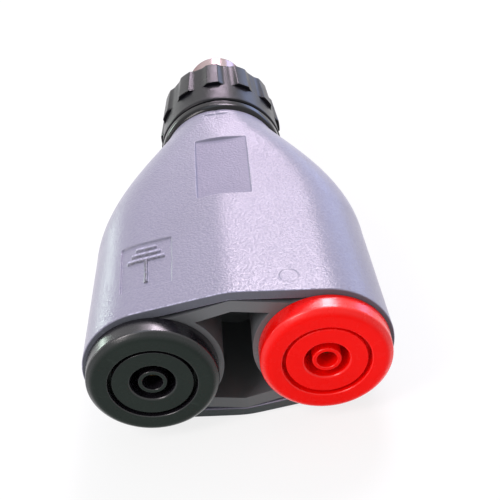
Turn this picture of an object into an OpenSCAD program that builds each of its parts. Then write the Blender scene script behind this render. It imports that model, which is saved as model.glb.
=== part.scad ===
// Adapter from a BNC plug to two 4 mm safety sockets.
// Lengths are in millimetres. The plug's axis is +Y, and +Z is up.
// X runs from the black socket to the red one.
// The origin is on the plug's axis, at the front rim of its outer contact.

/* [Housing] */
// Distance between the axes of the two sockets
socket_pitch = 35; // [34:0.5:38]
// Radius of the round sides of the housing at its open end
side_r = 14.85; // [14.6:0.05:15.4]
// Radius of the housing where it meets the neck
neck_r = 14.2; // [14:0.1:14.6]
// Fall of each roof facet towards the side, per millimetre of width
roof_fall = 0.132; // [0.11:0.002:0.15]
// Length of the nearly straight part, from the open end to the shoulder
straight_l = 31.8; // [28:0.2:40]
// Length of the shoulder, where the housing narrows to the neck
shoulder_l = 40.2; // [34:0.2:46]
// How far each side draws in along the straight part
side_draft = 1.65; // [1:0.05:2]
// Wall of the hollow housing
wall = 2.3; // [1.8:0.1:2.6]
// Wall that closes the neck and carries the plug
end_wall = 3; // [2.5:0.1:4]

/* [Socket carrier] */
// Length of the carrier that slides into the open end
carrier_l = 25.8; // [22:0.2:28]
// Fall of the carrier's roof towards the side, per millimetre of width
carrier_fall = 0.215; // [0.19:0.005:0.24]
// Radius of the round sides of the carrier
carrier_side_r = 12.6; // [12.3:0.1:12.7]
// Outer radius of the cup round each socket
cup_r = 14.5; // [14:0.1:14.8]
// Wall of each cup
cup_wall = 1.3; // [1:0.1:1.6]
// Thickness of the roof over the hollow between the cups
carrier_roof_t = 2.8; // [2.4:0.1:3.4]
// Thickness of the floor that each socket is clamped to
cup_floor_t = 3; // [2.5:0.1:4]
// Clearance between the carrier and the housing
carrier_gap = 0.15; // [0.1:0.05:0.25]

/* [Sockets] */
// Radius of the bore for a 4 mm plug
bore_r = 2; // [2:0.01:2.04]
// Depth of the bore for a 4 mm plug
bore_l = 22; // [18:0.5:24]
// Wall of the contact tube
contact_wall = 0.45; // [0.4:0.05:0.5]
// Outer radius of the boss round the contact
boss_r = 2.95; // [2.85:0.05:3.1]
// Outer radius of the ring-shaped recess round the boss
recess_r = 4.5; // [4.4:0.05:4.8]
// Depth of the recess
recess_l = 18; // [15:0.5:19]
// Outer radius of the flange
flange_r = 13.4; // [12.8:0.1:13.6]
// Thickness of the flange, which stands in front of the housing
flange_t = 5.1; // [4.6:0.1:5.4]
// How far the flange stands in front of the socket body
flange_proud = 0.4; // [0.2:0.1:0.6]
// Radius of the flange's front edge
flange_round = 1.4; // [1:0.1:1.6]
// How far the band round the flange stands out from its front edge
band_step = 0.2; // [0.15:0.05:0.3]
// Radius of the round front of the socket body
disc_r = 8.4; // [8.2:0.05:8.8]
// Thickness of the round front of the socket body
disc_t = 2.8; // [2.4:0.1:3]
// Width of the groove between the socket body and the flange
groove_w = 0.6; // [0.4:0.05:0.7]
// Radius of the threaded barrel of the socket body
barrel_r = 6.4; // [6:0.1:6.8]
// Length of the socket body from its front face
socket_l = 26.5; // [26:0.5:30]
// Width across the flats of the socket nut
socket_nut_af = 15.5; // [15:0.5:16]
// Thickness of the socket nut
socket_nut_t = 3.2; // [2.5:0.1:4]

/* [Neck collar] */
// Length of the collar and of the spigot that it sits on
collar_l = 3.4; // [3.2:0.1:3.5]
// Outer radius of the collar
collar_r = 14.85; // [14.6:0.05:14.9]
// Radius of the collar's rounding on the side of the housing
collar_round = 1.75; // [1.6:0.05:1.9]
// Radius of the collar's rounding on the side of the grip ring
collar_far_round = 0.6; // [0.4:0.05:0.9]
// Radius of the spigot
spigot_r = 12.4; // [12.2:0.1:12.6]

/* [Grip ring] */
// Gap between the collar and the grip ring
ring_gap = 0.4; // [0.3:0.05:0.6]
// Length of the grip ring
ring_l = 18.8; // [18:0.2:22]
// Length of the smooth skirt at the near end of the ring
skirt_l = 7.7; // [6:0.1:9]
// Radius of the skirt at its near end
skirt_r = 15; // [14.8:0.1:15.4]
// Radius of the ring between the lobes, at its far end
valley_r = 13.65; // [13.4:0.05:14]
// Number of lobes round the ring
lobes = 12; // [9:1:14]
// Height of the lobes above the skirt at their near end
lobe_h = 0.8; // [0.5:0.1:1.1]
// Height of the lobes at the far end
lobe_far_h = 0.55; // [0.3:0.05:0.8]
// Width of each lobe at its foot
lobe_foot_w = 6; // [5.4:0.1:6.4]
// Width of each lobe at its crest
lobe_crest_w = 2.8; // [2.4:0.1:3.2]
// Wall of the ring round the hollow that faces the collar
ring_wall = 2.3; // [2:0.1:2.6]
// Thickness of the ring's far wall
ring_front_t = 3.8; // [3:0.1:5]

/* [BNC plug] */
// Outer radius of the coupling sleeve
sleeve_r = 7.25; // [7.2:0.01:7.3]
// Bore radius of the coupling sleeve, round the mating barrel
sleeve_bore_r = 4.9; // [4.88:0.01:4.95]
// Length of the sleeve in front of the grip ring
sleeve_out_l = 16.3; // [15:0.1:18]
// Width of the two bayonet slots
slot_w = 2.3; // [2.1:0.05:2.5]
// Depth of the straight entry of each slot
slot_entry_l = 2.6; // [2.2:0.1:3]
// Distance along the axis from the entry to the end of each slot
slot_rise = 3.9; // [3.5:0.1:4.4]
// Turn of each slot from its entry to its end, in degrees
slot_turn = 84; // [70:1:90]
// Outer radius of the outer contact
contact_out_r = 4.05; // [4.04:0.005:4.06]
// Wall of the outer contact
contact_out_wall = 0.6; // [0.5:0.05:0.65]
// Distance from the rim of the sleeve back to the rim of the outer contact
contact_set_back = 0.5; // [0.3:0.1:1]
// Length of the outer contact in front of the plug body
contact_out_l = 10.6; // [10:0.1:11]
// Radius of the centre pin
pin_r = 0.675; // [0.66:0.005:0.69]
// Distance from the rim of the outer contact back to the tip of the pin
pin_set_back = 0.6; // [0.3:0.1:1.2]
// Radius of the thread that passes through the neck
shank_r = 4.75; // [4.5:0.05:4.8]
// Radius of the tube that the sleeve turns on
journal_r = 5; // [4.95:0.01:5.05]
// Running clearance between that tube and the sleeve
journal_gap = 0.06; // [0.04:0.01:0.1]
// How far the sleeve can be drawn forward against the wave spring
float_l = 1.2; // [0.8:0.1:1.4]
// Height of the wave spring when the sleeve is drawn fully forward
spring_pressed_l = 2; // [1.8:0.1:2.4]

/* [Wiring] */
// Radius of the two insulated leads
lead_r = 1.1; // [0.9:0.05:1.25]
// Depth of each solder cup
cup_l = 4; // [3:0.2:5]

/* [Marks on the roof] */
// Width of the sunk blank panel near the neck
panel_w = 11.8; // [10:0.1:13]
// Length of the sunk blank panel
panel_l = 24.4; // [20:0.2:26]
// Depth of the sunk panels and of the disc mark
mark_depth = 0.4; // [0.2:0.05:0.6]
// Width of the sunk panel with the earth symbol
earth_w = 10.8; // [10:0.1:12]
// Length of the sunk panel with the earth symbol
earth_l = 14.9; // [14:0.1:17]
// Radius of the round disc mark
disc_mark_r = 1.95; // [1.5:0.05:2.5]

/* [Hidden] */
$fn = 64;

grey = [0.62, 0.60, 0.66];
dark_grey = [0.38, 0.40, 0.40];
black = [0.10, 0.12, 0.11];
red = [0.95, 0.10, 0.06];
nickel = [0.80, 0.78, 0.76];
gold = [0.85, 0.68, 0.32];
white = [0.93, 0.93, 0.90];

// Places along the axis, counted from the front face of the socket bodies
mouth_y = flange_t - flange_proud;
shoulder_y = mouth_y + straight_l;
neck_y = shoulder_y + shoulder_l;
spigot_y = neck_y + collar_l;
ring_y = spigot_y + ring_gap;
step_y = ring_y + skirt_l;
ring_end_y = ring_y + ring_l;
rim_y = ring_end_y + sleeve_out_l;
tip_y = rim_y - contact_set_back;

// Small clearances and overlaps
slip = 0.02;
fit_gap = 0.05;
past = 1;

// Sides of the housing's cross-section and its shoulder curve
side_x = socket_pitch / 2 - 0.65;
shoulder_power = 1.92;
shoulder_fall = 1.28;
rings_straight = 5;
rings_shoulder = 17;
section_sides = 72;
inner_sides = 48;

// Half distance between the centres of the round sides, at a place y along the axis
function side_c(y) = y <= shoulder_y
    ? side_x - side_draft * (y - mouth_y) / straight_l
    : (side_x - side_draft) * shoulder_share((y - shoulder_y) / shoulder_l);
function shoulder_share(t) = pow(max(0, 1 - pow(t, shoulder_power)), shoulder_fall);
function side_radius(y) = side_r + (neck_r - side_r) * (y - mouth_y) / (neck_y - mouth_y);
// Fall of the roof facets, which fade out where the housing becomes round
function fall_at(y) = roof_fall * (1 - pow(1 - side_c(y) / side_x, 4));
// Height of the ridge, where the two roof facets that touch the round sides meet
function ridge(c, r, s) = r * sqrt(1 + s * s) + s * c;
function ridge_z(y) = ridge(side_c(y), side_radius(y), fall_at(y));
// Distance from the axis to the outline along a direction, for the upper right quarter
function reach(c, r, s, a) =
    let (touch = c + r * s / sqrt(1 + s * s), top = ridge(c, r, s))
    (top * cos(a) <= touch * (sin(a) + s * cos(a)))
    ? top / (sin(a) + s * cos(a))
    : c * cos(a) + sqrt(r * r - c * c * sin(a) * sin(a));
function outline_point(c, r, s, t) =
    let (x = (c + r) * cos(t),
         z = ridge(c, r, s) * sin(t),
         a = atan2(abs(z), abs(x)),
         d = reach(c, r, s, a))
    [(x < 0 ? -1 : 1) * d * cos(a), (z < 0 ? -1 : 1) * d * sin(a)];
// The places along the axis where the loft has a cross-section, closer together towards the neck
function loft_places(y0, y1, n) = [for (i = [0:n]) y0 + (y1 - y0) * sin(90 * i / n)];
outer_places = concat(
    [for (i = [0:rings_straight - 1]) mouth_y + straight_l * i / rings_straight],
    loft_places(shoulder_y, neck_y, rings_shoulder));

// A closed loft through the housing's cross-sections, each drawn in by the inset
module housing_loft(places, inset, sides) {
    pts = [for (y = places, j = [0:sides - 1])
        let (q = outline_point(side_c(y), side_radius(y) - inset, fall_at(y), 360 * (j + 0.5) / sides))
        [q[0], y, q[1]]];
    n = len(places);
    walls = [for (i = [0:n - 2], j = [0:sides - 1])
        let (k = (j + 1) % sides, a = i * sides + j, b = i * sides + k)
        each [[a, b, b + sides], [a, b + sides, a + sides]]];
    near_cap = [for (j = [sides - 1:-1:0]) j];
    far_cap = [for (j = [0:sides - 1]) (n - 1) * sides + j];
    polyhedron(points = pts, faces = concat(walls, [near_cap, far_cap]));
}

// Stands its children on the axis at y, with their own +Z along +Y
module at_y(y, x = 0) {
    translate([x, y, 0]) rotate([-90, 0, 0]) children();
}

// Turns a profile of [radius, place along Y] points about the axis
module turned(profile, x = 0, sides = 64) {
    translate([x, 0, 0]) rotate([-90, 0, 0]) rotate_extrude($fn = sides) polygon(profile);
}

// Moves a piece from the socket bodies' front face to the part's own origin
module placed() {
    translate([0, -tip_y, 0]) children();
}

// The pocket in the open end, and the carrier in it
pocket_wall = 1.6;
stop_y = mouth_y + carrier_l;
carrier_side_x = side_c(stop_y) + side_radius(stop_y) - pocket_wall - carrier_gap - carrier_side_r;
pocket_r = carrier_side_r + carrier_gap;
pocket_ridge = ridge(carrier_side_x, pocket_r, roof_fall);
carrier_ridge = pocket_ridge - carrier_gap;
carrier_back_t = 2;
snap_w = 12;
snap_l = 2.4;
snap_h = 0.4;
snap_y = stop_y - 6;

// The neck and the round space for the plug's nut
spigot_wall = 2.4;
nut_room_r = spigot_r - spigot_wall;
wall_y = spigot_y - end_wall;
cavity_end_y = neck_y - 0.9;

// Outline of the pocket: round sides joined by two facets that touch them
module pocket_outline() {
    run = roof_fall / sqrt(1 + roof_fall * roof_fall);
    touch_x = carrier_side_x + pocket_r * run;
    touch_z = pocket_ridge - roof_fall * touch_x;
    for (s = [-1, 1]) translate([s * carrier_side_x, 0]) circle(r = pocket_r);
    polygon([[0, pocket_ridge], [touch_x, touch_z], [touch_x, -touch_z],
             [0, -pocket_ridge], [-touch_x, -touch_z], [-touch_x, touch_z]]);
}

// Two facets each side of the middle, from a ridge height
module facets(top, width) {
    low = top - carrier_fall * width;
    polygon([[0, top], [width, low], [width, -low], [0, -top], [-width, -low], [-width, low]]);
}

// Snap ribs above and below the ridge, each widened by the gap
snap_root = 2;
module snaps(top, gap) {
    size = [snap_w + 2 * gap, snap_l + 2 * gap, snap_h + snap_root];
    for (low = [top - snap_root, -top - snap_h])
        translate([-snap_w / 2 - gap, snap_y - gap, low]) cube(size);
}

// Outline of the carrier, drawn in by the inset
module carrier_outline(inset) {
    for (s = [-1, 1]) translate([s * carrier_side_x, 0]) circle(r = carrier_side_r - inset);
    facets(carrier_ridge - inset, carrier_side_x);
}

// Puts its children on the roof at x and y, with +Z square to the facet
module on_roof(x, y) {
    fall = fall_at(y);
    pitch_y = atan(ridge_z(y + 0.5) - ridge_z(y - 0.5));
    translate([x, y, ridge_z(y) - fall * abs(x)])
    rotate([pitch_y, x < 0 ? -atan(fall) : atan(fall), 0]) children();
}

// A bar of the earth symbol, standing up through the panel's depth
module symbol_bar(y, length, height) {
    translate([-length / 2, y - height / 2, -2 * mark_depth]) cube([length, height, 4]);
}

// Cuts the sunk square but leaves the symbol standing in it
earth_x = -16.4;
earth_y = mouth_y + 15;
bar_t = 0.9;
module earth_panel_cut() {
    on_roof(earth_x, earth_y) difference() {
        translate([-earth_w / 2, -earth_l / 2, -mark_depth]) cube([earth_w, earth_l, 3]);
        symbol_bar(5.6, 4.4, bar_t);
        symbol_bar(3.8, 6.2, bar_t);
        symbol_bar(2, 8, bar_t);
        symbol_bar(-1.6, bar_t, 7.4);
    }
}

// Cuts the blank panel, whose flat floor meets the roof at its two far corners
panel_x = 0.8;
panel_y = shoulder_y + 2.2;
module blank_panel_cut() {
    edge = panel_w / 2 + panel_x;
    far_y = panel_y + panel_l;
    near_z = ridge_z(panel_y) - fall_at(panel_y) * edge - mark_depth / 2;
    far_z = ridge_z(far_y) - fall_at(far_y) * edge - mark_depth / 4;
    translate([panel_x - panel_w / 2, panel_y, near_z])
    rotate([atan((far_z - near_z) / panel_l), 0, 0]) cube([panel_w, panel_l, 3]);
}

disc_mark_x = 12.2;
disc_mark_y = mouth_y + 4.6;
module disc_mark_cut() {
    on_roof(disc_mark_x, disc_mark_y) translate([0, 0, -mark_depth * 0.6]) cylinder(r = disc_mark_r, h = 3);
}

// Shallow flat across the roof just before the neck
neck_flat_w = 6.4;
neck_flat_l = 1.2;
neck_flat_y = neck_y - 2.8;
module neck_flat_cut() {
    floor_z = ridge_z(neck_flat_y) - mark_depth * 0.6;
    translate([0.3 - neck_flat_w / 2, neck_flat_y, floor_z]) cube([neck_flat_w, neck_flat_l, 2]);
}

module housing_shell() {
    color(grey) placed() difference() {
        union() {
            housing_loft(outer_places, 0, section_sides);
            at_y(neck_y - past) cylinder(r = spigot_r, h = collar_l + past, $fn = 96);
        }
        at_y(mouth_y - past) linear_extrude(carrier_l + past) pocket_outline();
        housing_loft(concat([stop_y - slip], loft_places(shoulder_y, cavity_end_y, 10)), wall, inner_sides);
        at_y(cavity_end_y - past) cylinder(r = nut_room_r, h = wall_y - cavity_end_y + past);
        at_y(wall_y - past) cylinder(r = shank_r + fit_gap, h = end_wall + 2 * past);
        snaps(pocket_ridge, fit_gap);
        earth_panel_cut();
        blank_panel_cut();
        disc_mark_cut();
        neck_flat_cut();
    }
}

module socket_carrier() {
    color(dark_grey) placed() difference() {
        union() {
            at_y(mouth_y) linear_extrude(carrier_l) carrier_outline(0);
            snaps(carrier_ridge, 0);
        }
        at_y(mouth_y - past) linear_extrude(carrier_l + past - carrier_back_t) difference() {
            facets(carrier_ridge - carrier_roof_t, socket_pitch / 2);
            for (s = [-1, 1]) translate([s * socket_pitch / 2, 0]) circle(r = cup_r);
        }
        for (s = [-1, 1]) {
            at_y(mouth_y + cup_floor_t) linear_extrude(carrier_l) intersection() {
                translate([s * socket_pitch / 2, 0]) circle(r = cup_r - cup_wall);
                carrier_outline(cup_wall);
            }
            at_y(mouth_y - past, s * socket_pitch / 2)
                cylinder(r = barrel_r + fit_gap, h = cup_floor_t + 2 * past);
        }
    }
}

// Ring-shaped flange: a rounded front edge, a band that stands out behind it, and a lip under the socket body
groove_r = disc_r + groove_w;
band_round = 0.3;
module flange(side) {
    front_r = flange_r - band_step - flange_round;
    band_r = flange_r - band_round;
    round_y = flange_round - flange_proud;
    placed() translate([side * socket_pitch / 2, 0, 0]) rotate([-90, 0, 0]) rotate_extrude($fn = 96) {
        translate([groove_r, -flange_proud]) square([front_r - groove_r, flange_t]);
        translate([front_r, round_y]) circle(r = flange_round);
        translate([groove_r, round_y]) square([band_r - groove_r, mouth_y - round_y]);
        translate([groove_r, round_y + band_round])
            square([flange_r - groove_r, mouth_y - round_y - 2 * band_round]);
        for (y = [round_y + band_round, mouth_y - band_round])
            translate([band_r, y]) circle(r = band_round);
        translate([barrel_r + fit_gap, disc_t]) square([groove_r - barrel_r, mouth_y - disc_t]);
    }
}

// Insulating body: round front, boss that lines the way to the contact, ring-shaped recess, threaded barrel
contact_r = bore_r + contact_wall;
lining_r = bore_r + 0.2;
contact_set_in = 4.5;
boss_set_back = 0.3;
edge_bevel = 0.2;
mouth_bevel = 0.4;
module socket_body(side) {
    tube_r = contact_r + fit_gap;
    placed() turned([
        [lining_r, boss_set_back + edge_bevel],
        [lining_r + edge_bevel, boss_set_back],
        [boss_r - edge_bevel, boss_set_back],
        [boss_r, boss_set_back + edge_bevel],
        [boss_r, recess_l],
        [recess_r, recess_l],
        [recess_r, mouth_bevel],
        [recess_r + mouth_bevel, 0],
        [disc_r - edge_bevel, 0],
        [disc_r, edge_bevel],
        [disc_r, disc_t],
        [barrel_r, disc_t],
        [barrel_r, socket_l],
        [tube_r, socket_l],
        [tube_r, contact_set_in - slip],
        [lining_r, contact_set_in - slip]], side * socket_pitch / 2, 96);
}

// Brass contact: a tube with the bore, a collar behind the socket body and a solder cup.
// The collar reaches past the end of the bore, also where the socket body is short
contact_lead_in = 0.25;
bore_end_y = contact_set_in + contact_lead_in + bore_l;
contact_floor_t = 0.7;
contact_collar_r = 3.4;
contact_collar_t = 1;
contact_back_y = max(socket_l + contact_collar_t, bore_end_y + contact_floor_t);
cup_bore_r = lead_r + fit_gap;
cup_tube_r = cup_bore_r + 0.6;
contact_cup_y = contact_back_y + 1.5;
contact_end_y = contact_cup_y + cup_l;
module contact(side) {
    placed() turned([
        [bore_r + contact_lead_in, contact_set_in],
        [bore_r, contact_set_in + contact_lead_in],
        [bore_r, bore_end_y],
        [0, bore_end_y],
        [0, contact_cup_y],
        [cup_bore_r, contact_cup_y],
        [cup_bore_r, contact_end_y],
        [cup_tube_r, contact_end_y],
        [cup_tube_r, contact_back_y],
        [contact_collar_r, contact_back_y],
        [contact_collar_r, socket_l],
        [contact_r, socket_l],
        [contact_r, contact_set_in]], side * socket_pitch / 2);
}

module hex_nut(y, x, across, hole_r, thickness) {
    at_y(y, x) difference() {
        rotate([0, 0, 30]) cylinder(d = across / cos(30), h = thickness, $fn = 6);
        translate([0, 0, -past]) cylinder(r = hole_r, h = thickness + 2 * past);
    }
}

module socket_nut(side) {
    x = side * socket_pitch / 2;
    placed() hex_nut(mouth_y + cup_floor_t, x, socket_nut_af, barrel_r + fit_gap, socket_nut_t);
}

module black_flange() {
    color(black) flange(-1);
}
module red_flange() {
    color(red) flange(1);
}
module black_socket_body() {
    color(black) socket_body(-1);
}
module red_socket_body() {
    color(red) socket_body(1);
}
module black_contact() {
    color(gold) contact(-1);
}
module red_contact() {
    color(gold) contact(1);
}
module black_nut() {
    color(black) socket_nut(-1);
}
module red_nut() {
    color(red) socket_nut(1);
}

// Glossy bead that covers the end of the neck: well rounded towards the housing, less towards the ring
module neck_collar() {
    near_r = collar_r - collar_round;
    far_r = collar_r - collar_far_round;
    crest_y = neck_y + collar_round;
    far_y = spigot_y - collar_far_round;
    color(black) placed() rotate([-90, 0, 0]) rotate_extrude($fn = 128) intersection() {
        union() {
            translate([0, neck_y]) square([near_r, collar_l]);
            translate([near_r, crest_y]) circle(r = collar_round);
            translate([0, crest_y]) square([collar_r, far_y - crest_y]);
            translate([far_r, far_y]) circle(r = collar_far_round);
            translate([0, crest_y]) square([far_r, spigot_y - crest_y]);
        }
        translate([spigot_r + slip, neck_y]) square([collar_r, collar_l]);
    }
}

// Plug body: thread through the neck, flange, stop, journal with the clip groove, and nose
plug_flange_r = 9;
plug_flange_t = 3;
plug_stop_r = 7;
stop_l = 3.2;
stop_face_y = spigot_y + plug_flange_t + stop_l;
sleeve_back_y = stop_face_y + 0.2;
sleeve_flange_t = 2.8;
spring_l = spring_pressed_l + float_l;
washer_gap = 0.1;
washer_t = 0.8;
washer_y = sleeve_back_y + sleeve_flange_t + washer_gap;
spring_y = washer_y + washer_t + washer_gap;
clip_t = 0.8;
clip_y = spring_y + spring_l + washer_gap;
clip_depth = 0.55;
clip_r = 6.2;
journal_end_y = clip_y + clip_t + 0.6;
nose_r = sleeve_bore_r - 0.35;
nose_y = tip_y - contact_out_l;
shank_y = wall_y - 9;
socket_in_l = 2.2;
core_r = 3;
flat_across = 16;
contact_root_r = contact_out_r - 0.2;
module plug_body() {
    color(nickel) placed() difference() {
        turned([
            [core_r, shank_y],
            [shank_r - edge_bevel, shank_y],
            [shank_r, shank_y + edge_bevel],
            [shank_r, spigot_y],
            [plug_flange_r, spigot_y],
            [plug_flange_r, spigot_y + plug_flange_t],
            [plug_stop_r, spigot_y + plug_flange_t],
            [plug_stop_r, stop_face_y],
            [journal_r, stop_face_y],
            [journal_r, clip_y],
            [journal_r - clip_depth, clip_y],
            [journal_r - clip_depth, clip_y + clip_t],
            [journal_r, clip_y + clip_t],
            [journal_r, journal_end_y],
            [nose_r, journal_end_y],
            [nose_r, nose_y],
            [contact_root_r + slip, nose_y],
            [contact_root_r + slip, nose_y - socket_in_l],
            [core_r, nose_y - socket_in_l]]);
        for (s = [-1, 1])
            translate([-plug_flange_r, spigot_y - past, s > 0 ? flat_across / 2 : -flat_across / 2 - 5])
            cube([2 * plug_flange_r, plug_flange_t + 2 * past, 5]);
    }
}

// Slotted sleeve of spring fingers that enters the mating barrel
finger_slots = 4;
finger_slot_w = 0.5;
finger_l = 7.5;
gasket_t = 1.2;
contact_in_r = contact_out_r - contact_out_wall;
module outer_contact() {
    color(nickel) placed() difference() {
        turned([
            [contact_in_r, nose_y - socket_in_l],
            [contact_root_r, nose_y - socket_in_l],
            [contact_root_r, nose_y + gasket_t],
            [contact_out_r, nose_y + gasket_t],
            [contact_out_r, tip_y],
            [contact_in_r + edge_bevel, tip_y],
            [contact_in_r, tip_y - edge_bevel]]);
        for (i = [0:finger_slots / 2 - 1])
            at_y(tip_y - finger_l) rotate([0, 0, 45 + i * 90])
            translate([-contact_out_r - past, -finger_slot_w / 2, 0])
            cube([2 * contact_out_r + 2 * past, finger_slot_w, finger_l + past]);
    }
}

// White insulator between the plug body and the pin
pin_back_r = 1.5;
pin_step_y = nose_y - 8;
insulator_nose_r = 2.35;
insulator_face_y = nose_y + 2.4;
insulator_nose_y = insulator_face_y + 2.5;
module dielectric() {
    color(white) placed() turned([
        [pin_back_r + slip, shank_y + 0.5],
        [core_r - slip, shank_y + 0.5],
        [core_r - slip, nose_y - socket_in_l],
        [contact_in_r - slip, nose_y - socket_in_l],
        [contact_in_r - slip, insulator_face_y],
        [insulator_nose_r, insulator_face_y],
        [insulator_nose_r, insulator_nose_y],
        [pin_r + slip, insulator_nose_y],
        [pin_r + slip, pin_step_y],
        [pin_back_r + slip, pin_step_y]]);
}

// Gold pin with a solder cup at its back
pin_tip_y = tip_y - pin_set_back;
pin_point_l = 0.9;
pin_point_r = 0.3;
pin_cup_y = shank_y - 2.5;
pin_back_y = pin_cup_y - cup_l;
module centre_pin() {
    color(gold) placed() turned([
        [0, pin_cup_y],
        [cup_bore_r, pin_cup_y],
        [cup_bore_r, pin_back_y],
        [cup_tube_r, pin_back_y],
        [cup_tube_r, shank_y - 0.5],
        [pin_back_r, shank_y - 0.5],
        [pin_back_r, pin_step_y],
        [pin_r, pin_step_y],
        [pin_r, pin_tip_y - pin_point_l],
        [pin_point_r, pin_tip_y],
        [0, pin_tip_y]]);
}

// Lock washer, ground tag and nut behind the neck's wall, in that order
lock_t = 0.7;
tag_t = 0.5;
plug_nut_t = 3;
plug_nut_af = 12.7;
tag_y = wall_y - lock_t - tag_t;
plug_nut_y = tag_y - plug_nut_t;
washer_out_r = 6.6;
module ring_plate(y, inner, outer, thickness) {
    at_y(y) difference() {
        cylinder(r = outer, h = thickness);
        translate([0, 0, -past]) cylinder(r = inner, h = thickness + 2 * past);
    }
}
module lock_washer() {
    color(nickel) placed() difference() {
        ring_plate(wall_y - lock_t, shank_r + fit_gap, washer_out_r, lock_t);
        for (i = [0:7])
            at_y(wall_y - lock_t - past) rotate([0, 0, 45 * i + 22.5])
            translate([washer_out_r - 0.9, -0.5, 0]) cube([2, 1, lock_t + 2 * past]);
    }
}
module plug_nut() {
    color(nickel) placed() hex_nut(plug_nut_y, 0, plug_nut_af, shank_r + fit_gap, plug_nut_t);
}
tag_x = -8.4;
tag_w = 3;
tag_cup_y = plug_nut_y - 2;
tag_floor_y = tag_cup_y - 0.5;
tag_back_y = tag_cup_y - cup_l;
module ground_tag() {
    color(gold) placed() {
        ring_plate(tag_y, shank_r + fit_gap, washer_out_r, tag_t);
        translate([tag_x, tag_y, -tag_w / 2]) cube([-tag_x - shank_r - 1, tag_t, tag_w]);
        translate([tag_x - tag_t / 2, tag_floor_y, -tag_w / 2])
            cube([tag_t, tag_y + tag_t - tag_floor_y, tag_w]);
        turned([
            [0, tag_floor_y],
            [0, tag_cup_y],
            [cup_tube_r, tag_cup_y],
            [cup_tube_r, tag_back_y],
            [cup_bore_r, tag_back_y],
            [cup_bore_r, tag_floor_y]], tag_x, 48);
    }
}

// A lead from one solder cup to the other, straight in both cups and curved between them
function curve(a, b, pull, t) =
    let (u = 1 - t)
    [a[0] * (u * u * u + 3 * u * u * t) + b[0] * (3 * u * t * t + t * t * t),
     a[1] * u * u * u + 3 * (a[1] + pull) * u * u * t + 3 * (b[1] - pull) * u * t * t + b[1] * t * t * t];
lead_steps = 22;
lead_sides = 10;
module lead(x0, y0, x1, y1) {
    a = [x0, y0 + cup_l + 1];
    b = [x1, y1 - cup_l - 1];
    pull = (b[1] - a[1]) * 0.55;
    mid = [for (i = [0:lead_steps]) curve(a, b, pull, i / lead_steps)];
    path = concat([[x0, y0 + slip]], mid, [[x1, y1 - slip]]);
    n = len(path);
    pts = [for (i = [0:n - 1], j = [0:lead_sides - 1])
        let (before = path[max(0, i - 1)], after = path[min(n - 1, i + 1)],
             d = after - before, l = norm(d), side = [d[1] / l, -d[0] / l],
             w = 360 * j / lead_sides)
        [path[i][0] + lead_r * cos(w) * side[0], path[i][1] + lead_r * cos(w) * side[1], lead_r * sin(w)]];
    walls = [for (i = [0:n - 2], j = [0:lead_sides - 1])
        let (k = (j + 1) % lead_sides, p = i * lead_sides + j, r = i * lead_sides + k)
        each [[p, r, r + lead_sides], [p, r + lead_sides, p + lead_sides]]];
    caps = [[for (j = [lead_sides - 1:-1:0]) j], [for (j = [0:lead_sides - 1]) (n - 1) * lead_sides + j]];
    polyhedron(points = pts, faces = concat(walls, caps));
}
module signal_lead() {
    color(red) placed() lead(socket_pitch / 2, contact_cup_y, 0, pin_cup_y);
}
module ground_lead() {
    color(black) placed() lead(-socket_pitch / 2, contact_cup_y, tag_x, tag_floor_y);
}

// Soft ring at the root of the outer contact
module sealing_gasket() {
    color([0.72, 0.25, 0.18]) placed() ring_plate(nose_y, contact_root_r + fit_gap, nose_r, gasket_t);
}

// Open clip in the journal's groove
clip_opening = 3;
module retaining_ring() {
    color(nickel) placed() difference() {
        ring_plate(clip_y + slip, journal_r - clip_depth + fit_gap, clip_r, clip_t - 2 * slip);
        at_y(clip_y - past)
            translate([-clip_opening / 2, 0, 0]) cube([clip_opening, clip_r + past, clip_t + 2 * past]);
    }
}

// Flat wire wound in waves, so that the crests of one turn meet the troughs of the next
spring_turns = 3;
waves_per_turn = 2.5;
wire_t = 0.3;
wire_w = 0.95;
spring_in_r = journal_r + 0.2;
wave_h = 0.2;
turn_steps = 40;
module wave_spring() {
    n = spring_turns * turn_steps;
    lift = spring_l - wire_t - 2 * wave_h;
    pts = [for (i = [0:n], q = [[0, 0], [wire_w, 0], [wire_w, wire_t], [0, wire_t]])
        let (w = 360 * i / turn_steps,
             y = spring_y + wave_h + lift * i / n + wave_h * sin(waves_per_turn * w) + q[1],
             r = spring_in_r + q[0])
        [r * cos(w), y, -r * sin(w)]];
    walls = [for (i = [0:n - 1], j = [0:3])
        let (k = (j + 1) % 4, p = i * 4 + j, r = i * 4 + k)
        each [[p, r, r + 4], [p, r + 4, p + 4]]];
    m = n * 4;
    caps = [[3, 2, 1, 0], [m, m + 1, m + 2, m + 3]];
    color(nickel) placed() polyhedron(points = pts, faces = concat(walls, caps));
}

module thrust_washer() {
    color(gold) placed() ring_plate(washer_y, journal_r + journal_gap, clip_r, washer_t);
}

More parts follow.
